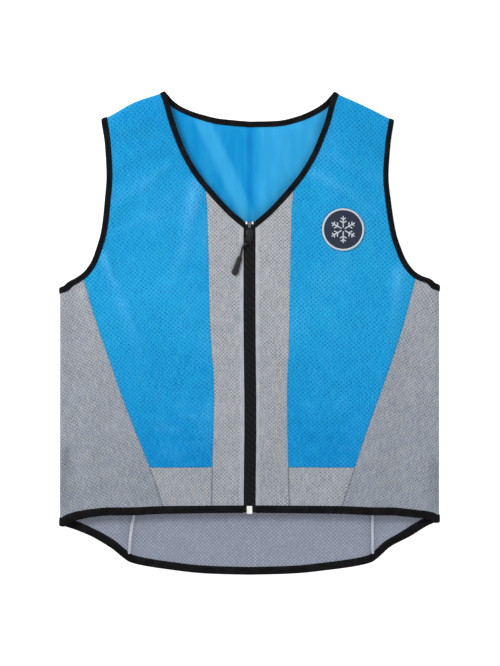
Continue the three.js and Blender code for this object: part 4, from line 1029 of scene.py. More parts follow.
def grid_piece(name, points, flat=None):
    """Adds a grid and moves its points to their places. Its UV map holds metres on the flat cloth."""
    rows, columns = points.shape[:2]
    flat = points[..., :2] if flat is None else flat
    deselect()
    bpy.ops.mesh.primitive_grid_add(x_subdivisions=columns - 1, y_subdivisions=rows - 1, size=1)
    obj = bpy.context.object
    obj.name = obj.data.name = name
    mesh = obj.data
    mesh.vertices.foreach_set("co", lying(points).ravel())
    corner = np.empty(len(mesh.loops), np.int32)
    mesh.loops.foreach_get("vertex_index", corner)
    mesh.uv_layers[0].name = "cloth"
    mesh.uv_layers[0].data.foreach_set("uv", (flat.reshape(-1, 2)[corner] * MM).ravel())
    mesh.update()
    return obj


def finish_piece(obj, body, node, finishes=(), angle=50):
    """Shades a piece, gives it its finishes and lets it ride on its body."""
    if finishes:
        obj.data.materials.clear()
    for finish in finishes:
        obj.data.materials.append(finish_named(finish))
    select_only(obj)
    bpy.ops.object.shade_smooth_by_angle(angle=math.radians(angle))
    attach(obj, body)
    if node:
        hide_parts(node)


def cloth_piece(name, grid, outside, inside="grey_inside", outward=1):
    """One panel: a grid given a wall, with its outside and its inside finished apart."""
    points, flat = grid
    obj = grid_piece(name + "_cloth", points, flat)
    mesh = obj.data
    middle = mesh.polygons[(points.shape[0] // 2) * (points.shape[1] - 1) + points.shape[1] // 4]
    if middle.normal.z * outward < 0:
        mesh.flip_normals()
    # Shares of the painted shade in the seams and of the folds' painted light and shade, point by point.
    for layer, shares in (("hollow", seam_shade(points)), ("painted_light", painted_light_share(points))):
        mesh.attributes.new(layer, "FLOAT", "POINT").data.foreach_set("value", shares.ravel())
    wall = obj.modifiers.new("wall", "SOLIDIFY")
    wall.thickness = bpy.context.scene.vest_cloth.wall
    wall.offset = 0
    wall.material_offset = 1
    for finish in (outside, inside):
        mesh.materials.append(finish_named(finish))
    apply_modifiers(obj)
    finish_piece(obj, "vest", name)


def linear(code):
    """A colour from its sRGB hex code, made linear."""
    parts = [int(code[k : k + 2], 16) / 255 for k in (1, 3, 5)]
    return [p / 12.92 if p <= 0.04045 else ((p + 0.055) / 1.055) ** 2.4 for p in parts] + [1.0]


def between(low, high, to_low, to_high):
    """The four ends of a Map Range node, by the numbers of its sockets."""
    return {1: low, 2: high, 3: to_low, 4: to_high}


class Finish:
    """A material's node tree while it is made. Sockets are named, or numbered where names repeat."""

    def __init__(self, name):
        self.material = bpy.data.materials.get(name) or bpy.data.materials.new(name)
        self.material.use_nodes = True
        self.tree = self.material.node_tree
        self.tree.nodes.clear()
        self.shader = self.node("BsdfPrincipled")
        self.node("OutputMaterial", {"Surface": self.shader})

    def node(self, kind, inputs=None, **settings):
        """Adds a node with its settings. An input is a value, an output, or a node for its first output."""
        node = self.tree.nodes.new("ShaderNode" + kind)
        for key, value in settings.items():
            setattr(node, key, value)
        return self.fill(node, inputs or {})

    def fill(self, node, inputs):
        for key, value in inputs.items():
            source = value.outputs[0] if isinstance(value, bpy.types.Node) else value
            if isinstance(source, bpy.types.NodeSocket):
                self.tree.links.new(source, node.inputs[key])
            else:
                node.inputs[key].default_value = source
        return node

    def shade(self, inputs):
        self.fill(self.shader, inputs)
        return self.material


def perforated_knit(
    name, colours, cell, grain, tone, uneven=0.05, contrast=1.0, light_holes=False, band=False
):
    """Polyester birdseye mesh, warp knitted in one colour: staggered pinholes between fine wales.

    The eye sees rows of small soft dots, faint streaks along the wales and a matte, uneven ground.
    A cell holds one pinhole, in millimetres. The real cells are finer than the picture can show, so
    they are drawn as coarse as they need to be seen. Tone gives [height in metres, depth of colour] rows.
    """
    finish = Finish(name)
    node = finish.node
    ground, deep, dot = (linear(code) for code in colours)
    cell_x, cell_y = (size * MM / math.sqrt(2) for size in cell)
    cloth = node("UVMap", uv_map="cloth")
    place = node("SeparateXYZ", {"Vector": node("TexCoord").outputs["Object"]})
    turned = node("Mapping", {"Vector": cloth, "Rotation": (0, 0, math.radians(grain))})

    # Pinholes on a lattice that wavers a little, weaker in patches and one by one.
    waver = node("TexNoise", {"Vector": turned, "Scale": 22.0, "Detail": 1.0}, noise_dimensions="2D")
    waver = {0: waver.outputs["Color"], 1: (WAVER, WAVER, 0), 2: turned}
    moved = node("VectorMath", waver, operation="MULTIPLY_ADD")
    finer = (1 / cell_x, 1 / cell_y, 1)
    lattice = node("Mapping", {"Vector": moved, "Rotation": (0, 0, math.radians(45)), "Scale": finer})
    holes = {"Vector": lattice, "Scale": 1.0, "Randomness": 0.12}
    holes = node("TexVoronoi", holes, voronoi_dimensions="2D")
    radius = bpy.context.scene.vest_cloth.hole / cell_x
    edge = between(radius * 1.3, radius * 0.3, 0.0, contrast)
    share = node("MapRange", {0: holes.outputs["Distance"], **edge}, interpolation_type="SMOOTHSTEP")
    for scale, detail, ends in ((34.0, 2.0, (0.36, 0.62, 0.8, 1.08)), (190.0, 1.0, (0.3, 0.7, 0.6, 1.2))):
        patchy = {"Vector": cloth, "Scale": scale, "Detail": detail}
        patchy = node("TexNoise", patchy, noise_dimensions="2D")
        strength = node("MapRange", {0: patchy, **between(*ends)})
        share = node("Math", {0: share, 1: strength}, operation="MULTIPLY")
    if band:
        across = node("Math", {0: place}, operation="ABSOLUTE")
        beyond = node("MapRange", {0: across, **between(*PLAIN_BAND, 0.0, 1.0)})
        share = node("Math", {0: share, 1: beyond}, operation="MULTIPLY")

    # The ground's tone down the vest, with broad patches, streaks along the wales and specks.
    low, high = tone[0][0], tone[-1][0]
    down = node("MapRange", {0: place.outputs[1], **between(low, high, 0.0, 1.0)})
    depth = node("ValToRGB", {"Fac": down})
    stops = depth.color_ramp.elements
    while len(stops) < len(tone):
        stops.new(0.5)
    for stop, (height, shade) in zip(stops, tone):
        stop.position = (height - low) / (high - low)
        stop.color = (shade, shade, shade, 1)
    broad = node("TexNoise", {"Vector": cloth, "Scale": 11.0, "Detail": 2.0}, noise_dimensions="2D")
    drawn = node("Mapping", {"Vector": turned, "Scale": (640, 60, 1)})
    streaks = node("TexNoise", {"Vector": drawn, "Scale": 1.0, "Detail": 1.0}, noise_dimensions="2D")
    specks = node("TexNoise", {"Vector": turned, "Scale": 620.0, "Detail": 1.0}, noise_dimensions="2D")
    for noise, reach in ((broad, uneven), (streaks, 1.4 * GRAIN_DEPTH), (specks, GRAIN_DEPTH)):
        swing = node("MapRange", {0: noise, **between(0.3, 0.7, -reach, reach)})
        depth = node("Math", {0: depth, 1: swing}, operation="ADD")
    toned = node("Mix", {0: depth, 6: ground, 7: deep}, data_type="RGBA", clamp_factor=False)
    dotted = node("Mix", {0: share, 6: toned.outputs[2], 7: dot}, data_type="RGBA")

    # Painted shade in the seams' hollows, a painted highlight on a fold's crest,
    # and painted shade in its hollow.
    hollow = node("Attribute", attribute_name="hollow").outputs["Fac"]
    shade = node("Math", {0: hollow, 1: 0.5}, operation="MULTIPLY")
    dark = [part * 0.3 for part in dot[:3]] + [1.0]
    shaded = node("Mix", {0: shade, 6: dotted.outputs[2], 7: dark}, data_type="RGBA")
    crest = node("Attribute", attribute_name="painted_light").outputs["Fac"]
    glow = PAINTED_LIGHT_REACH * CREST_HIGHLIGHT
    value = node("MapRange", {0: crest, **between(-PAINTED_LIGHT_REACH, PAINTED_LIGHT_REACH, 1 - glow, 1 + glow)})
    strength = node("MapRange", {0: crest, **between(0.0, 1.2, 1.0, 0.94)})
    fold_lit_and_shaded = {"Color": shaded.outputs[2], "Value": value, "Saturation": strength}
    rise = {0: share, 1: 2.0 if light_holes else -2.5, 2: streaks}
    height = node("Math", rise, operation="MULTIPLY_ADD")
    return finish.shade({
        "Base Color": node("HueSaturation", fold_lit_and_shaded),
        "Normal": node("Bump", {"Height": height, "Strength": 0.35, "Distance": 0.0002}),
        "Roughness": 0.85,
        "Specular IOR Level": 0.16,
        "Sheen Weight": 0.04,
        "Sheen Roughness": 0.5,
    })


def lining_with_painted_light(name, colours):
    """Polyester tricot, warp knitted and brushed: a smooth close face, with painted light and shade.

    One broad painted highlight slants down from the left, painted shade darkens a line down the
    middle, and right of that line the cloth is painted lighter all over.
    """
    finish = Finish(name)
    node = finish.node
    ground, light = (linear(code) for code in colours)
    cloth = node("UVMap", uv_map="cloth")
    here = node("TexCoord").outputs["Object"]
    lean = math.radians(-LINING_HIGHLIGHT_LEAN)
    middle_x, middle_y = LINING_HIGHLIGHT_MIDDLE
    moved = middle_y * math.sin(lean) - middle_x * math.cos(lean)
    slanted = node("Mapping", {"Vector": here, "Location": (moved, 0, 0), "Rotation": (0, 0, lean)})
    across = node("SeparateXYZ", {"Vector": here})
    from_line = node("Math", {0: across}, operation="ABSOLUTE")
    from_highlight = node("Math", {0: node("SeparateXYZ", {"Vector": slanted})}, operation="ABSOLUTE")
    drawn = node("Mapping", {"Vector": cloth, "Scale": (60, 16, 1)})
    streaks = node("TexNoise", {"Vector": drawn, "Scale": 1.0}, noise_dimensions="2D")
    share = None
    # Painted light and shade: a highlight along the slanting fold, lighter right of the middle, shade on
    # the middle line, and faint streaks.
    for source, ends, way in (
        (from_highlight, (0.005, 0.016, 0.85, 0.0), None),
        (across, (0.004, 0.02, 0.0, 0.7), "MAXIMUM"),
        (from_line, (0.001, 0.006, 0.5, 0.0), "SUBTRACT"),
        (streaks, (0.3, 0.7, -0.15, 0.2), "ADD"),
    ):
        part = node("MapRange", {0: source, **between(*ends)}, interpolation_type="SMOOTHSTEP")
        share = node("Math", {0: share, 1: part}, operation=way) if share else part
    wales = {"Vector": cloth, "Scale": 42.0, "Distortion": 0.8, "Detail": 1.0}
    wales = node("TexWave", wales, wave_type="BANDS", bands_direction="X").outputs["Fac"]
    lit_lining = node("Mix", {0: share, 6: ground, 7: light}, data_type="RGBA", clamp_factor=False)
    return finish.shade({
        "Base Color": lit_lining.outputs[2],
        "Normal": node("Bump", {"Height": wales, "Strength": 0.25, "Distance": 0.0001}),
        "Roughness": 0.8,
        "Specular IOR Level": 0.15,
        "Sheen Weight": 0.04,
    })


def folded_tape(name, colours):
    """Polyester binding, knitted as a narrow band: fine ribs across it and a dull shine on the fold."""
    finish = Finish(name)
    node = finish.node
    ground, worn = (linear(code) for code in colours)
    cloth = node("UVMap", uv_map="cloth")
    waves = WAVES_PER_UNIT / (RIB_PITCH * MM)
    ribs = {"Vector": cloth, "Scale": waves, "Distortion": 0.5, "Detail": 1.0}
    ribs = node("TexWave", ribs, wave_type="BANDS", bands_direction="X").outputs["Fac"]
    blotches = node("TexNoise", {"Vector": cloth, "Scale": 60.0}, noise_dimensions="2D")
    share = node("MapRange", {0: blotches, **between(0.4, 0.7, 0.0, 1.0)})
    rubbed = node("Mix", {0: share, 6: ground, 7: worn}, data_type="RGBA")
    return finish.shade({
        "Base Color": rubbed.outputs[2],
        "Normal": node("Bump", {"Height": ribs, "Strength": 0.4, "Distance": 0.0001}),
        "Roughness": 0.8,
        "Specular IOR Level": 0.08,
    })


def zip_weave(name, colours):
    """Polyester zip tape, woven in herringbone and dyed: dense, flat, with painted shade in its grooves."""
    finish = Finish(name)
    node = finish.node
    ground, lit = (linear(code) for code in colours)
    here = node("TexCoord").outputs["Object"]
    ribs = {"Vector": here, "Scale": WAVES_PER_UNIT / (WEAVE_PITCH * MM), "Distortion": 0.4}
    ribs = node("TexWave", ribs, wave_type="BANDS", bands_direction="DIAGONAL").outputs["Fac"]
    # The ribs' tops painted lighter and their grooves painted darker, as shade.
    shaded_weave = node("Mix", {0: ribs, 6: ground, 7: lit}, data_type="RGBA")
    return finish.shade({
        "Base Color": shaded_weave.outputs[2],
        "Normal": node("Bump", {"Height": ribs, "Strength": 0.3, "Distance": 0.0001}),
        "Roughness": 0.7,
        "Specular IOR Level": 0.12,
    })


def moulded(name, colours, roughness, metallic=0.0, grain=900.0, gloss=0.25):
    """A moulded, cast or painted part: one colour with a faint grain that breaks its highlights."""
    finish = Finish(name)
    node = finish.node
    ground, lit = (linear(code) for code in colours)
    here = node("TexCoord").outputs["Object"]
    speckle = node("TexNoise", {"Vector": here, "Scale": grain, "Detail": 2.0})
    grained = node("Mix", {0: speckle, 6: ground, 7: lit}, data_type="RGBA")
    return finish.shade({
        "Base Color": grained.outputs[2],
        "Normal": node("Bump", {"Height": speckle, "Strength": 0.3, "Distance": 0.00004}),
        "Roughness": roughness,
        "Metallic": metallic,
        "Specular IOR Level": 0.5 if metallic else gloss,
    })


def thread(name, code):
    """Polyester sewing thread, spun and dyed: small rounded stitches with a dull shine."""
    return Finish(name).shade({"Base Color": linear(code), "Roughness": 0.6, "Specular IOR Level": 0.3})


# Depth of colour down the vest, as [height in metres, share of the deep colour] rows.
BLUE_TONE = [(-0.2, 0.95), (-0.1, 0.5), (0.0, 0.15), (0.1, 0.02), (0.2, 0.25), (0.33, 0.45)]
STRIP_TONE = [(-0.27, 0.5), (0.0, 0.28), (0.2, 0.1)]
SIDE_TONE = [(-0.3, 1.0), (-0.1, 0.72), (0.09, 0.35)]
INSIDE_TONE = [(-0.35, 0.6), (-0.19, 0.4)]


@functools.lru_cache(maxsize=None)
def finish_named(name):
    """Each finish is made once, when the first piece asks for it."""
    colours = bpy.context.scene.vest_colours
    blues = (colours.blue, colours.blue_deep, colours.blue_hole)
    greys = (colours.grey, colours.grey_deep, colours.grey_hole)
    insides = (colours.grey_inside, colours.grey_inside_deep, colours.grey_inside_dot)
    lining = (colours.blue_inside, colours.blue_lining_highlight)
    ridge = ("#bcc1ca", "#a8adb9", "#9298a6")
    knit, blue, grey = perforated_knit, BLUE_CELL, GREY_CELL
    makers = {
        "blue_left": lambda: knit("blue_mesh_left", blues, blue, 4, BLUE_TONE, 0.16, 0.8),
        "blue_right": lambda: knit("blue_mesh_right", blues, blue, -5, BLUE_TONE, 0.16, 0.8),
        "blue_inside": lambda: lining_with_painted_light("blue_lining_shading", lining),
        "grey": lambda: knit("grey_mesh", greys, grey, 0, STRIP_TONE, contrast=0.75),
        "grey_strip": lambda: knit("grey_mesh_strip", greys, grey, 0, STRIP_TONE, contrast=0.8, band=True),
        "grey_left": lambda: knit("grey_mesh_left", greys, grey, 13, SIDE_TONE, contrast=0.85),
        "grey_right": lambda: knit("grey_mesh_right", greys, grey, -13, SIDE_TONE, contrast=0.85),
        "grey_inside": lambda: knit(
            "grey_mesh_inside", insides, grey, 0, INSIDE_TONE, contrast=0.8, light_holes=True
        ),
        "ridge": lambda: knit("grey_mesh_ridge", ridge, grey, 0, INSIDE_TONE, contrast=0.2),
        "tape": lambda: folded_tape("binding_tape", (colours.black, "#141416")),
        "zip": lambda: zip_weave("zip_tape_weave", ("#0b0b0c", "#161618")),
        # The coil's nylon, painted paler than the black tape for the glints along its edges.
        "coil_glint": lambda: moulded("zip_coil_glint", ("#6a6a6e", "#7b7b80"), 0.35),
        "slider": lambda: moulded("slider_painted_zinc", ("#1a1a1d", "#212124"), 0.4),
        "metal": lambda: moulded("stop_aluminium", ("#f0f0ee", "#fafaf8"), 0.35, 0.4),
        "pull": lambda: moulded("pull_rubber", ("#1b1b20", "#232328"), 0.55, 0.0, 1400.0),
        "badge": lambda: moulded("badge_rubber", ("#1c2434", "#263044"), 0.55, 0.0, 1100.0),
        "badge_light": lambda: moulded("badge_light_rubber", ("#b4bcc6", "#c4ccd4"), 0.5, 0.0, 1100.0),
        "black_thread": lambda: thread("black_thread", "#1d1d20"),
        "grey_thread": lambda: thread("grey_thread", "#a2a7b0"),
    }
    return makers[name]()


class Fold:
    """A line the vest is folded on, with the cloth round it unrolled: along the line, and across it."""

    def __init__(self, origin, along, inwards):
        self.origin = np.array(origin, float)
        self.along = unit(np.array(along, float))
        self.inwards = unit(np.array(inwards, float))

    def unroll(self, plan, layer):
        """Places on the unrolled cloth for a layer's points in plan."""
        offset = plan - self.origin
        away = np.maximum(offset @ self.inwards, 0)
        rolled = FOLD_RADIUS * np.arccos(1 - np.clip(away / FOLD_RADIUS, 0, 1))
        across = rolled + np.maximum(away - FOLD_RADIUS, 0)
        return at(offset @ self.along, across if layer == "front" else -across)

    def roll(self, unrolled):
        """Points in space, over the floor, for places on the unrolled cloth."""
        along, across = unrolled[..., 0], unrolled[..., 1]
        turn = np.clip(np.abs(across) / FOLD_RADIUS, 0, np.pi / 2)
        flat = np.maximum(np.abs(across) - FOLD_RADIUS * np.pi / 2, 0)
        away = FOLD_RADIUS * (1 - np.cos(turn)) + flat
        plan = self.origin + along[..., None] * self.along + away[..., None] * self.inwards
        x, down = plan[..., 0], plan[..., 1]
        front = front_height(x, down, sewn=False)
        return at(x, -down, np.where(across >= 0, front, back_height(x, down)))


SHOULDER_RUN = SHOULDER_TIP - NECK_POINT
SHOULDER_FOLD = Fold(NECK_POINT, SHOULDER_RUN, [-SHOULDER_RUN[1], SHOULDER_RUN[0]])
SIDE_FOLD_LINE = Fold([SIDE_FOLD, 0], [0, 1], [-1, 0])


def evenly(line, step=2.0):
    """A polyline's points at even distances."""
    along = arc_lengths(line)
    places = np.linspace(0, along[-1], max(2, round(along[-1] / step) + 1))
    return np.stack([np.interp(places, along, line[:, k]) for k in range(line.shape[1])], -1)


def smoothed(values, reach, closed=False):
    """Values along a line averaged with their neighbours."""
    weights = np.exp(-((np.arange(-3 * reach, 3 * reach + 1) / reach) ** 2))
    weights /= weights.sum()
    mode = "wrap" if closed else "edge"
    padded = np.pad(values, ((3 * reach, 3 * reach), (0, 0)), mode=mode)
    return np.stack([np.convolve(column, weights, "valid") for column in padded.T], -1)


def across_edge(line, start=None):
    """Inward directions along an unrolled edge, each long enough to reach as far in.

    Where a start is given, the first ones turn to it.
    """
    square = unit(smoothed(np.gradient(line, axis=0), 2))[:, ::-1] * [-1, 1]
    inwards = square
    if start is not None:
        weight = (1 - ease(arc_lengths(line) / TURN_LENGTH))[:, None]
        inwards = unit(mix(square, np.array(start, float), weight))
    return inwards / (inwards * square).sum(-1, keepdims=True)


class EdgeTape:
    """The surface beside a bound edge, at any distance in from it."""

    def __init__(self, stretches, closed):
        """Each stretch is a fold, an unrolled edge, its inward directions, a side and the part used."""
        self.stretches = stretches
        self.closed = closed
        self.known = {}
        edge = self.middle(0)
        ring = np.concatenate([edge, edge[:1]]) if closed else edge
        self.along = arc_lengths(ring)
        self.tangent = unit(self.change(edge))

    def middle(self, inset):
        """The cloth's middle at a distance in from the edge."""
        if inset in self.known:
            return self.known[inset]
        parts = []
        for fold, edge, inwards, sign, part in self.stretches:
            points = fold.roll(edge + inwards * inset)[part]
            points[..., 0] *= sign
            parts.append(points[::-1] if sign < 0 and not self.closed else points)
        self.known[inset] = np.concatenate(parts)
        return self.known[inset]

    def change(self, values):
        """How values change from point to point, round the ring or along the line."""
        if self.closed:
            return np.roll(values, -1, 0) - np.roll(values, 1, 0)
        return np.gradient(values, axis=0)

    def surface(self, inset):
        """The cloth's middle, and the way out of its outside, at a distance in from the edge."""
        spot = self.middle(inset)
        across = self.middle(inset + 0.5) - self.middle(inset - 0.5)
        return spot, unit(np.cross(across, self.tangent))


def tape_section(width):
    """The tape's outline as [inset, height] rows: a puffed fold with a groove for its stitches."""
    upper = np.array([
        [width, 0.95], [width - 0.35, 1.6], [width - 0.9, 1.72], [width - 1.7, 1.5],
        [width - 2.5, 1.8], [width * 0.5, 2.0], [width * 0.25, 1.98], [0.6, 1.85],
        [-0.15, 1.6], [-0.75, 1.1], [-1.0, 0.4],
    ])
    slot = np.array([[-0.3, 0.8], [0.2, TAPE_SLOT_HALF], [width * 0.5, TAPE_SLOT_HALF], [width, 0.62]])
    return np.concatenate([upper, upper[::-1] * [1, -1], slot[::-1] * [1, -1], slot])


def tape_piece(name, tape, width):
    """A strip of binding swept along its edge as one closed shell, cut square where it meets the zip."""
    section = tape_section(width)
    puff = 1 + soft_noise(tape.along[: len(tape.tangent)], 0, "tape_puff")
    columns = []
    for inset, height in section:
        spot, normal = tape.surface(inset)
        lift = height * (puff if abs(height) > TAPE_SLOT_HALF else np.ones_like(puff))
        columns.append(spot + normal * lift[:, None])
    points = np.stack(columns, axis=1)
    if not tape.closed:
        points[0, :, 0], points[-1, :, 0] = ZIP_EDGE, -ZIP_EDGE
    rounds = np.concatenate([points, points[:, :1]], axis=1)
    across = arc_lengths(section)
    if tape.closed:
        rounds = np.concatenate([rounds, rounds[:1]])
    measured = np.concatenate([across, across[-1:] + 0.5])
    obj = grid_piece(name + "_tape", rounds, at(tape.along[:, None], measured))
    close_shell(obj, not tape.closed)
    return obj


# The unrolled places round a fold, how far an armhole's two halves overlap, and how soon an end turns.
ROUND_THE_FOLD = FOLD_RADIUS * np.linspace(np.pi / 2, -np.pi / 2, 40)
OVERLAP = 30
TURN_LENGTH = 14


def armhole_dip(across):
    """How far the armhole's edge runs on downwards where it turns round the side."""
    return ARMHOLE_DIP * np.cos(np.clip(across / FOLD_RADIUS, -np.pi / 2, np.pi / 2))


def armhole_tape(sign):
    """Round one armhole: down the front, round the side, up the back and over the shoulder.

    Its two halves are unrolled on the side's fold and on the shoulder's, and meet half way down.
    """
    down = np.linspace(SHOULDER_DROP, ARMHOLE_DOWN, 400)
    front = at(armhole_x(down), down)
    below = down[down > SEAM_ARM[1]]
    back = np.concatenate([
        mix(SHOULDER_TIP, SEAM_ARM, np.linspace(0, 1, 20)[:, None]),
        at(back_armhole_x(below), below),
    ])
    rounded = at(ARMHOLE_DOWN + armhole_dip(ROUND_THE_FOLD), ROUND_THE_FOLD)
    split = (SHOULDER_DROP + ARMHOLE_DOWN) / 2
    lower = evenly(np.concatenate([
        SIDE_FOLD_LINE.unroll(front[down > split - OVERLAP], "front"),
        rounded[1:-1],
        SIDE_FOLD_LINE.unroll(back[back[:, 1] > split - OVERLAP][::-1], "back"),
    ]))
    upper = evenly(np.concatenate([
        SHOULDER_FOLD.unroll(back[back[:, 1] < split + OVERLAP][::-1], "back"),
        SHOULDER_FOLD.unroll(front[1:][down[1:] < split + OVERLAP], "front"),
    ]))
    stretches = []
    for fold, line in ((SIDE_FOLD_LINE, lower), (SHOULDER_FOLD, upper)):
        height = -fold.roll(line)[:, 1]
        part = height >= split if fold is SIDE_FOLD_LINE else height < split
        stretches.append((fold, line, to_middle(fold, line), sign, part))
    return EdgeTape(stretches, True)


def to_middle(fold, line):
    """Inward directions turned so that they lead towards the vest's middle."""
    inwards = across_edge(line)
    moved = fold.roll(line + 5 * inwards)[:, 0] - fold.roll(line)[:, 0]
    return inwards * -np.sign(moved.mean())


def neck_tape():
    """From the zip up the neckline, over the shoulder, round the back, and down to the zip again."""
    down = np.linspace(ZIP_TOP_DOWN, 0, 400)
    x = np.linspace(SEAM_NECK[0], 0, 200)
    line = evenly(np.concatenate([
        SHOULDER_FOLD.unroll(at(neckline_x(down), down), "front"),
        SHOULDER_FOLD.unroll(mix(NECK_POINT, SEAM_NECK, np.linspace(0, 1, 20)[1:, None]), "back"),
        SHOULDER_FOLD.unroll(at(x[1:], back_neck_down(x[1:])), "back"),
    ]))
    zip_edge = np.array([[ZIP_EDGE, ZIP_TOP_DOWN], [ZIP_EDGE, FRONT_LENGTH]])
    zip_edge = SHOULDER_FOLD.unroll(zip_edge, "front")
    return mirrored_tape(SHOULDER_FOLD, line, unit(zip_edge[1] - zip_edge[0]))


def hem_tape():
    """From the zip along the front's hem, round the side, along the tail and back to the zip."""
    x = np.linspace(ZIP_EDGE, FOLD_START, 300)
    back_x = np.linspace(FOLD_START, 0, 400)
    line = evenly(np.concatenate([
        SIDE_FOLD_LINE.unroll(at(x, front_hem_down(x)), "front"),
        at(SIDE_LENGTH, ROUND_THE_FOLD)[1:-1],
        SIDE_FOLD_LINE.unroll(at(back_x, back_hem_down(back_x)), "back"),
    ]))
    return mirrored_tape(SIDE_FOLD_LINE, line, [-1.0, 0.0])


def mirrored_tape(fold, line, start):
    """A tape whose second half mirrors its first at the middle of the back. Its ends face a start."""
    way = 1 if across_edge(line)[0] @ start >= 0 else -1
    inwards = way * across_edge(line, way * np.array(start))
    whole = np.arange(len(line))
    return EdgeTape([(fold, line, inwards, 1, whole), (fold, line, inwards, -1, whole[:-1])], False)


def stitch_rows(name, rows, gap, thickness, finish):
    """Rows of stitches: one rounded stitch, copied along each row and lying in its cloth."""
    length = bpy.context.scene.vest_cloth.stitch / MM
    deselect()
    bpy.ops.mesh.primitive_uv_sphere_add(segments=6, ring_count=4, radius=1)
    model = bpy.context.object
    shape = np.array([vertex.co for vertex in model.data.vertices])
    shape = shape[:, [2, 0, 1]] * [length / 2, thickness / 2, thickness * 0.4]
    faces = [list(polygon.vertices) for polygon in model.data.polygons]
    bpy.data.objects.remove(model)
    vertices, polygons = [], []
    for *row, along in rows:
        count = int(along[-1] // (length + gap))
        places = (np.arange(count) + 0.5) * along[-1] / count
        spot, ahead, up = (
            np.stack([np.interp(places, along, values[:, k]) for k in range(3)], -1) for values in row
        )
        ahead = unit(ahead)
        aside = unit(np.cross(up, ahead))
        axes = np.stack([ahead, aside, np.cross(ahead, aside)], 1)
        for stitch in spot[:, None] + np.einsum("vk,nkc->nvc", shape, axes):
            first = len(vertices) * len(shape)
            vertices.append(stitch)
            polygons.extend([first + corner for corner in face] for face in faces)
    mesh = bpy.data.meshes.new(name)
    mesh.from_pydata(lying(np.concatenate(vertices)).tolist(), [], polygons)
    obj = bpy.data.objects.new(name, mesh)
    bpy.context.scene.collection.objects.link(obj)
    in_edit_mode(obj, face_outwards)
    finish_piece(obj, "vest", None, [finish], 80)


def tape_stitches(tape, width, side):
    """One row of stitches in a tape's groove, on its outside or, with a side of -1, on its inside."""
    spots, normals = tape.surface(width - STITCH_INSET)
    row = [spots + normals * side * STITCH_HEIGHT, tape.tangent, normals * side]
    if tape.closed:
        row = [np.concatenate([values, values[:1]]) for values in row]
    return *row, arc_lengths(row[0])


class VestCloth(bpy.types.PropertyGroup):
    """Sizes of the cloth's own detail."""

    wall: FloatProperty(
        name="Wall", description="Thickness of the cloth", default=CLOTH_WALL * MM, subtype="DISTANCE"
    )
    hole: FloatProperty(
        name="Hole", description="Width of one pinhole", default=0.0016, subtype="DISTANCE"
    )
    wrinkle: FloatProperty(
        name="Wrinkle", description="Height of the drag lines", default=0.0016, subtype="DISTANCE"
    )
    stitch: FloatProperty(
        name="Stitch", description="Length of one stitch", default=0.0024, subtype="DISTANCE"
    )


class VestColours(bpy.types.PropertyGroup):
    """Colours of the cloths, as sRGB hex codes."""

    blue: StringProperty(name="Blue", description="Blue mesh", default="#1a9ad0")
    blue_deep: StringProperty(name="Deep blue", description="Blue in the hollows", default="#0088c8")
    blue_hole: StringProperty(name="Blue holes", description="Pinholes in the blue", default="#0062a0")
    blue_inside: StringProperty(name="Lining", description="Inside of the blue", default="#058ac8")
    # The paler blue of the lining's painted highlights.
    blue_lining_highlight: StringProperty(name="Highlight", description="Highlights in its pile", default="#34a2d8")
    grey: StringProperty(name="Grey", description="Grey mesh", default="#aaacb0")
    grey_deep: StringProperty(name="Deep grey", description="Grey in hollows", default="#8e95a0")
    grey_hole: StringProperty(name="Grey holes", description="Pinholes in the grey", default="#686c74")
    grey_inside: StringProperty(name="Inside", description="Inside of the grey", default="#838997")
    grey_inside_deep: StringProperty(name="Deep inside", description="Its hollows", default="#777e8e")
    grey_inside_dot: StringProperty(name="Inside dots", description="Its pinholes", default="#a4aaba")
    black: StringProperty(name="Black", description="Binding", default="#0b0b0d")


class VestStudio(bpy.types.PropertyGroup):
    """The floor, the light and the camera."""

    floor: StringProperty(name="Floor", description="The pale floor", default="#fafafa")
    glow: FloatProperty(name="Glow", description="Light through the floor", default=0.62)
    key: FloatProperty(name="Key", description="The large soft light", default=42.0, unit="POWER")
    fill: FloatProperty(name="Fill", description="The light opposite", default=18.0, unit="POWER")
    sky: FloatProperty(name="Sky", description="Light from all round", default=0.54)
    distance: FloatProperty(
        name="Camera height", description="Height of the camera", default=4.0, subtype="DISTANCE"
    )


class VEST_OT_chest_panels(bpy.types.Operator):
    """Make the blue perforated panels over the shoulders and chest"""

    bl_idname = "vest.chest_panels"
    bl_label = "Chest panels"

    def execute(self, context):
        for name, sign in SIDES.items():
            cloth_piece(
                f"chest_panel_{name}", chest_grid(sign), f"blue_{name}",
                inside="blue_inside",
            )
        return {"FINISHED"}


class VEST_OT_front_strips(bpy.types.Operator):
    """Make the grey strips beside the zip and the panels under the blue ones"""

    bl_idname = "vest.front_strips"
    bl_label = "Front strips"

    def execute(self, context):
        for name, sign in SIDES.items():
            cloth_piece(
                f"front_strip_{name}", strip_grid(sign), "grey_strip",
            )
            cloth_piece(
                f"lower_panel_{name}", lower_grid(sign), "grey"
            )
        return {"FINISHED"}


class VEST_OT_side_panels(bpy.types.Operator):
    """Make the grey panels that fold round the sides"""

    bl_idname = "vest.side_panels"
    bl_label = "Side panels"

    def execute(self, context):
        for name, sign in SIDES.items():
            cloth_piece(
                f"side_panel_{name}", side_grid(sign), f"grey_{name}"
            )
        return {"FINISHED"}


class VEST_OT_back(bpy.types.Operator):
    """Make the blue back and the grey tail"""

    bl_idname = "vest.back"
    bl_label = "Back and tail"

    def execute(self, context):
        cloth_piece(
            "back_panel", back_grid(), "blue_left",
            inside="blue_inside", outward=-1,
        )
        cloth_piece("back_tail", tail_grid(), "grey", outward=-1)
        return {"FINISHED"}


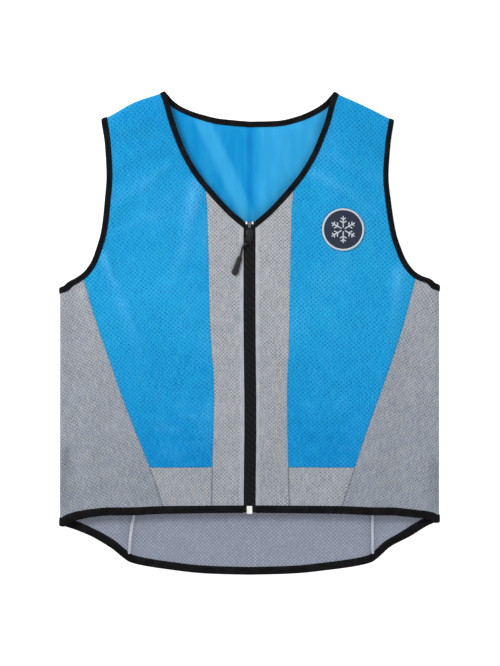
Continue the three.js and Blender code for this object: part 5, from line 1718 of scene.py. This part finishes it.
class VEST_OT_back_seams(bpy.types.Operator):
    """Make the raised seams inside the back"""

    bl_idname = "vest.back_seams"
    bl_label = "Back seams"

    def execute(self, context):
        start, end = BACK_SEAM_TOP + 2 * TAPE_WIDTH, TAIL_CORNER_DOWN - HEM_TAPE_WIDTH
        down = np.linspace(start, end, 140)[:, None]
        turn = np.linspace(0, 2 * np.pi, 17)
        for name, sign in SIDES.items():
            x = back_seam_x(down)
            across = x + soft_noise(down, 0, "ridge_wander") + SEAM_RIDGE_WIDTH / 2 * np.cos(turn)
            base = back_height(sign * x, down) + CLOTH_WALL / 2 - SEAM_RIDGE_SINK
            rise = SEAM_RIDGE_HEIGHT * np.maximum(np.sin(turn), -0.12)
            points = at(sign * across, -down, base + rise)
            obj = grid_piece(f"back_seam_{name}_ridge", points, at(turn * 2, down))
            close_shell(obj)
            finish_piece(obj, "vest", f"back_seam_{name}", ["ridge"])
        return {"FINISHED"}


class VEST_OT_bindings(bpy.types.Operator):
    """Make the black folded tape round the neck, the armholes and the hem, with its stitches"""

    bl_idname = "vest.bindings"
    bl_label = "Bindings"

    def execute(self, context):
        tapes = {
            "neck_binding": (neck_tape(), TAPE_WIDTH),
            "armhole_binding_left": (armhole_tape(1), TAPE_WIDTH),
            "armhole_binding_right": (armhole_tape(-1), TAPE_WIDTH),
            "hem_binding": (hem_tape(), HEM_TAPE_WIDTH),
        }
        rows = []
        for node, (tape, width) in tapes.items():
            finish_piece(tape_piece(node, tape, width), "vest", node, ["tape"], 40)
            rows += [tape_stitches(tape, width, side) for side in (1, -1)]
        stitch_rows("binding_stitches", rows, 0.9, 0.42, "black_thread")
        return {"FINISHED"}


class VEST_OT_topstitching(bpy.types.Operator):
    """Sew the grey rows beside the zip"""

    bl_idname = "vest.topstitching"
    bl_label = "Topstitching"

    def execute(self, context):
        down = np.linspace(ZIP_TOP_DOWN + 6, FRONT_LENGTH - HEM_TAPE_WIDTH - 1, 160)
        upright = np.tile([0.0, 0.0, 1.0], (len(down), 1))
        rows = []
        for sign in SIDES.values():
            x = np.full_like(down, sign * TOPSTITCH_ACROSS)
            spots = at(x, -down, front_height(x, down) + 0.05 + CLOTH_WALL / 2)
            rows.append((spots, np.gradient(spots, axis=0), upright, arc_lengths(spots)))
        stitch_rows("zip_topstitches", rows, 0.8, 0.4, "grey_thread")
        return {"FINISHED"}


def tape_inner_x(down):
    """Where a zip tape's inner edge lies: the tapes part above the slider."""
    open_share = np.clip((SLIDER_TOP_DOWN - down) / (SLIDER_TOP_DOWN - TAPE_TOP_DOWN), 0, 1)
    return ZIP_CLOSED_HALF + ZIP_OPENING * open_share


def tape_top(x, down):
    return front_height(x, down) - ZIP_TAPE_SINK + ZIP_TAPE_WALL / 2


class VEST_OT_zip(bpy.types.Operator):
    """Make the ribbed zip tapes, the coil, the stops, the box and the slider"""

    bl_idname = "vest.zip"
    bl_label = "Zip"

    def execute(self, context):
        for name, sign in SIDES.items():
            self.tape(name, sign)
        for name, sign in SIDES.items():
            self.coil(name, sign)
        for name, sign in SIDES.items():
            middle = (sign * STOP_ACROSS, STOP_DOWN, 0.75)
            self.block(f"zip_stop_{name}_clip", middle, (2.7, 3.8, 1.9), 0.5, f"zip_stop_{name}")
        middle = (0, FRONT_LENGTH - BOX_LENGTH / 2, 0.9)
        self.block("zip_box_shell", middle, (8, BOX_LENGTH, 1.9), 0.7, "zip_box")
        self.slider()
        return {"FINISHED"}

    def tape(self, name, sign):
        """A flat tape with a bead over its coil and woven ribs beside it."""
        down = np.linspace(TAPE_TOP_DOWN, FRONT_LENGTH, 150)[:, None]
        inner = tape_inner_x(down)
        x = mix(inner, ZIP_EDGE - ZIP_CLEARANCE, np.linspace(0, 1, 30))
        from_inner = x - inner
        bead = BEAD_HEIGHT * np.sqrt(np.clip(1 - ((from_inner - BEAD_MIDDLE) / BEAD_HALF) ** 2, 0, 1))
        waves = np.cos((from_inner - FIRST_RIB) / ZIP_RIB_PITCH * 2 * np.pi)
        ribs = ZIP_RIB_HEIGHT * np.clip(waves, -0.2, 1)
        seat = tape_top(0 * x, down) - WEAVE_SINK
        top = at(sign * x, -down, seat + np.where(from_inner < BEAD_END, bead, ribs))
        under = top[:, ::-1].copy()
        under[..., 2] = seat[:, :1] - WEAVE_WALL
        obj = grid_piece(f"zip_tape_{name}_weave", np.concatenate([top, under, top[:, :1]], axis=1))
        close_shell(obj)
        finish_piece(obj, "vest", f"zip_tape_{name}", ["zip"], 60)

    def coil(self, name, sign):
        """A coil behind its tape, closed below the slider, and raised and narrower above it."""
        down = np.arange(TAPE_TOP_DOWN + 1, FRONT_LENGTH - BOX_LENGTH, COIL_PITCH / 4)[:, None]
        turn = np.linspace(0, 2 * np.pi, 9)
        swell = 1 + COIL_SWELL * np.cos(down / COIL_PITCH * 2 * np.pi)
        parted = np.clip((SLIDER_TOP_DOWN - 1.5 - down) / 2, 0, 1)
        half = COIL_HALF_WIDTH * (1 - COIL_PARTED_LOSS * parted)
        x = tape_inner_x(down) + COIL_ASIDE + half * swell * np.cos(turn)
        base = tape_top(0 * down, down) - COIL_SINK + COIL_PARTED_RISE * parted
        points = at(sign * x, -down, base + COIL_HALF_HEIGHT * swell * np.sin(turn))
        obj = grid_piece(f"zip_coil_{name}", points)
        close_shell(obj)
        finish_piece(obj, "vest", "zip_coil", ["coil_glint"], 70)

    def block(self, name, middle, size, bevel, node):
        """A metal block with rounded edges. Its middle is across, down and over the zip's tapes."""
        x, down, over = middle
        place = (np.array([x, -down, float(tape_top(0, down)) + over]) + SHIFT) * MM
        deselect()
        bpy.ops.mesh.primitive_cube_add(size=1, location=place, scale=np.array(size) * MM)
        obj = bpy.context.object
        obj.name = obj.data.name = name
        bpy.ops.object.transform_apply(location=True, rotation=True, scale=True)
        self.round_edges(obj, bevel)
        finish_piece(obj, "vest", node, ["metal"], 40)

    def round_edges(self, obj, width, limit="NONE"):
        edge = obj.modifiers.new("edges", "BEVEL")
        edge.width = width * MM
        edge.segments = 3
        edge.limit_method = limit
        apply_modifiers(obj)

    def slider(self):
        """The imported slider's own shape, with its edges rounded."""
        source = frame["nodes"]["zip_slider"]
        deselect()
        copy = source.copy()
        copy.data = source.data.copy()
        copy.parent = None
        copy.name = copy.data.name = "zip_slider_body"
        for key in list(copy.keys()):
            del copy[key]
        bpy.context.scene.collection.objects.link(copy)
        level = math.radians(2)
        in_edit_mode(copy, merge(0.00001), lambda: bpy.ops.mesh.dissolve_limited(angle_limit=level))
        self.round_edges(copy, 0.35, "ANGLE")
        finish_piece(copy, "vest", "zip_slider", ["slider"], 40)


class VEST_OT_pull(bpy.types.Operator):
    """Make the swinging pull: its metal link and its moulded grip"""

    bl_idname = "vest.pull"
    bl_label = "Zip pull"

    def execute(self, context):
        joint = frame["joints"][0]
        self.pivot = np.array(joint["pos_m"]) / MM - SHIFT
        self.aside = -np.array(joint["axis"])
        low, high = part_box("pull_grip")
        ahead = np.array((low + high) / 2) / MM - SHIFT - self.pivot
        self.ahead = unit(ahead - self.aside * (ahead @ self.aside))
        up = np.cross(self.aside, -self.ahead)
        self.up = up if up[2] >= 0 else -up
        self.eye()
        self.bar()
        self.grip()
        return {"FINISHED"}

    def bar(self):
        """The link's flat bar, which kinks to one side before the grip."""
        line = smoothed(evenly(np.array(LINK_BENDS), 0.6), 3)
        way = -np.sign(self.aside[0]) * self.aside
        spots = self.pivot + line[:, :1] * self.ahead + line[:, 1:] * way
        half = np.interp(line[:, 0], *np.transpose(LINK_HALF))
        self.tube("pull_link_bar", spots, half, 0.8)

    def eye(self):
        """The end of the link: a flat eye, whose bar lies in the slider's bridge."""
        line = smoothed(evenly(np.array(EYE_CORNERS), 0.4)[:-1], 3, True)
        line = np.concatenate([line, line[:1]])
        spots = self.pivot + line[:, :1] * self.ahead + line[:, 1:2] * self.aside
        self.tube("pull_link_eye", spots, np.full(len(line), 0.42), 0.7, True)

    def tube(self, name, spots, half, thick, ring=False):
        """A flattened tube along spots, which run round again to the first in a ring."""
        tangent = np.gradient(spots, axis=0)
        if ring:
            tangent[0] = tangent[-1] = spots[1] - spots[-2]
        across = np.cross(self.up, unit(tangent))[:, None]
        turn = np.linspace(0, 2 * np.pi, 17)
        wide, tall = squared(np.cos(turn), 0.7), squared(np.sin(turn), 0.7)
        points = spots[:, None] + (half[:, None] * wide)[..., None] * across
        obj = grid_piece(name, points + (thick * tall)[:, None] * self.up)
        close_shell(obj, not ring)
        finish_piece(obj, "zip_pull", "pull_link", ["slider"], 60)

    def grip(self):
        """A waisted paddle with three ribs and a round end, lofted along the pull."""
        start, beside = PULL_LENGTH - GRIP_LENGTH, -np.sign(self.aside[0]) * PULL_ASIDE
        tip = 0.86 + 0.14 * np.sin(np.linspace(0, np.pi / 2, 14)[1:])
        share = np.concatenate([[0, 0.004, 0.02], np.linspace(0.05, 0.86, 60), tip])
        foot = np.interp(share, [0, 0.004, 0.02], [0.6, 0.85, 1])
        end = np.sqrt(np.clip(1 - np.clip((share - 0.83) / 0.17, 0, 1) ** 2, 0, 1))
        half = through(GRIP_HALF)(share) * np.maximum(end, 0.02) * foot
        thick = mix(1.7, 2.0, share) * np.maximum(end**0.6, 0.02) * foot
        ribs = sum(hump(share - centre, 0.022) for centre in (0.56, 0.66, 0.76))
        turn = np.linspace(0, 2 * np.pi, 33)
        wide, tall = squared(np.cos(turn), 0.75), squared(np.sin(turn), 0.7)
        height = (thick[:, None] + 0.28 * ribs[:, None] * np.sin(turn) ** 2) * tall
        along = (start + share * GRIP_LENGTH)[:, None, None]
        across = (beside + half[:, None] * wide)[..., None]
        points = self.pivot + along * self.ahead + across * self.aside + height[..., None] * self.up
        obj = grid_piece("pull_grip_rubber", points)
        close_shell(obj)
        finish_piece(obj, "zip_pull", "pull_grip", ["pull"], 60)


class VEST_OT_badge(bpy.types.Operator):
    """Make the plain round patch with its raised rim and frost star"""

    bl_idname = "vest.badge"
    bl_label = "Badge"

    def execute(self, context):
        turn = np.linspace(0, 2 * np.pi, 97)
        radius, height = (column[:, None] for column in np.array(PATCH_PROFILE).T)
        points = self.on_chest(radius * np.cos(turn), radius * np.sin(turn), height)
        obj = grid_piece("chest_badge_patch", points)
        in_edit_mode(obj, merge(SAME_POINT), face_outwards)
        finish_piece(obj, "vest", "chest_badge", ["badge", "badge_light"])
        centre = (np.array([BADGE_ACROSS, -BADGE_DOWN]) + SHIFT[:2]) * MM
        for polygon in obj.data.polygons:
            away = math.dist(polygon.center[:2], centre) / MM
            on_rim = BADGE_RIM_INSIDE < away < BADGE_RIM_OUTSIDE and polygon.normal.z > 0.2
            polygon.material_index = int(on_rim)
        self.star()
        return {"FINISHED"}

    def on_chest(self, x, down, height):
        """Points round the patch's middle, at heights over the chest panel."""
        x, down = BADGE_ACROSS + x, BADGE_DOWN + down
        return at(x, -down, front_height(x, down) + height)

    def star(self):
        """Six arms with two pairs of twigs each, raised on the patch."""
        bars = [[3.2, 0, 19, 0]]
        lean = math.radians(58)
        for start, reach in ((9.5, 5.2), (14.5, 3.8)):
            for way in (-1, 1):
                bars.append([start, 0, start + reach * math.cos(lean), way * reach * math.sin(lean)])
        pieces = []
        for arm in range(6):
            angle = math.radians(60 * arm + 30)
            spin = np.array([[math.cos(angle), -math.sin(angle)], [math.sin(angle), math.cos(angle)]])
            pieces += [self.bar(spin @ bar[:2], spin @ bar[2:]) for bar in bars]
        select_only(pieces[0])
        for piece in pieces:
            piece.select_set(True)
        bpy.ops.object.join()
        obj = bpy.context.object
        obj.name = obj.data.name = "chest_badge_star"
        finish_piece(obj, "vest", None, ["badge_light"], 40)

    def bar(self, start, end):
        """One rounded bar of the star, laid on the patch."""
        ahead = unit(end - start)
        aside = np.array([-ahead[1], ahead[0]])
        length = np.linalg.norm(end - start)
        places = np.concatenate([[-0.6, -0.35], np.linspace(0, length, 6), [length + 0.35, length + 0.6]])
        round_end = np.array([0.35, 0.8, *[1] * 6, 0.8, 0.35])
        across, height = np.array(BAR_SECTION).T
        middle = start + places[:, None] * ahead
        spots = middle[:, None] + (round_end[:, None] * across)[..., None] * aside
        obj = grid_piece("bar", self.on_chest(spots[..., 0], spots[..., 1], height))
        close_shell(obj)
        return obj


class VEST_OT_studio(bpy.types.Operator):
    """Make the pale floor, the soft lights and the camera straight above"""

    bl_idname = "vest.studio"
    bl_label = "Studio"

    def execute(self, context):
        studio = context.scene.vest_studio
        deselect()
        bpy.ops.mesh.primitive_plane_add(size=8, location=(0, 0, 0))
        floor = context.object
        floor.name = "floor"
        paper = {
            "Base Color": linear(studio.floor),
            "Roughness": 0.95,
            "Specular IOR Level": 0.1,
            "Emission Color": linear(studio.floor),
            "Emission Strength": studio.glow,
        }
        floor.data.materials.append(Finish("studio_paper").shade(paper))
        self.light("key", (-1.3, 1.3, 1.85), 1.0, studio.key)
        self.light("fill", (1.4, -0.9, 1.9), 1.8, studio.fill)
        world = bpy.data.worlds.new("studio")
        world.use_nodes = True
        background = world.node_tree.nodes["Background"]
        background.inputs[0].default_value = (1, 1, 1, 1)
        background.inputs[1].default_value = studio.sky
        context.scene.world = world
        context.scene.view_settings.view_transform = "Standard"
        self.camera(studio.distance)
        return {"FINISHED"}

    def light(self, name, place, size, power):
        """A square soft light that looks at the vest's middle."""
        bpy.ops.object.light_add(type="AREA", location=place)
        lamp = bpy.context.object
        lamp.name = name
        lamp.data.size = size
        lamp.data.energy = power
        lamp.rotation_mode = "QUATERNION"
        lamp.rotation_quaternion = (-Vector(place)).to_track_quat("-Z", "Y")

    def camera(self, distance):
        """Straight above, and so far off that edges look parallel."""
        bpy.ops.object.camera_add(location=(CAMERA_ASIDE, CAMERA_ASIDE, distance), rotation=(0, 0, 0))
        camera = bpy.context.object
        camera.name = "camera"
        camera.data.sensor_fit = "AUTO"
        camera.data.sensor_width = SENSOR
        camera.data.lens = SENSOR * distance / (PICTURE_HEIGHT * MM_PER_PIXEL * MM)
        camera.data.clip_end = 50
        bpy.context.scene.camera = camera


class VEST_PT_panel(bpy.types.Panel):
    """Lists the vest's pieces"""

    bl_idname = "VEST_PT_panel"
    bl_label = "Cooling vest"
    bl_space_type = "VIEW_3D"
    bl_region_type = "UI"
    bl_category = "Vest"

    def draw(self, context):
        for operator in OPERATORS:
            self.layout.operator(operator.bl_idname)
        for name, group in GROUPS.items():
            for key in group.__annotations__:
                self.layout.prop(getattr(context.scene, name), key)


GROUPS = {"vest_cloth": VestCloth, "vest_colours": VestColours, "vest_studio": VestStudio}
OPERATORS = (
    VEST_OT_studio,
    VEST_OT_back,
    VEST_OT_side_panels,
    VEST_OT_chest_panels,
    VEST_OT_front_strips,
    VEST_OT_back_seams,
    VEST_OT_bindings,
    VEST_OT_topstitching,
    VEST_OT_zip,
    VEST_OT_pull,
    VEST_OT_badge,
)


def register():
    for made in (*GROUPS.values(), *OPERATORS, VEST_PT_panel):
        bpy.utils.register_class(made)
    for name, group in GROUPS.items():
        setattr(bpy.types.Scene, name, PointerProperty(type=group))


def unregister():
    for name in GROUPS:
        delattr(bpy.types.Scene, name)
    for made in (VEST_PT_panel, *reversed(OPERATORS), *reversed(list(GROUPS.values()))):
        bpy.utils.unregister_class(made)


def main():
    register()
    for operator in OPERATORS:
        group, name = operator.bl_idname.split(".")
        getattr(getattr(bpy.ops, group), name)()


if __name__ == "__main__":
    main()
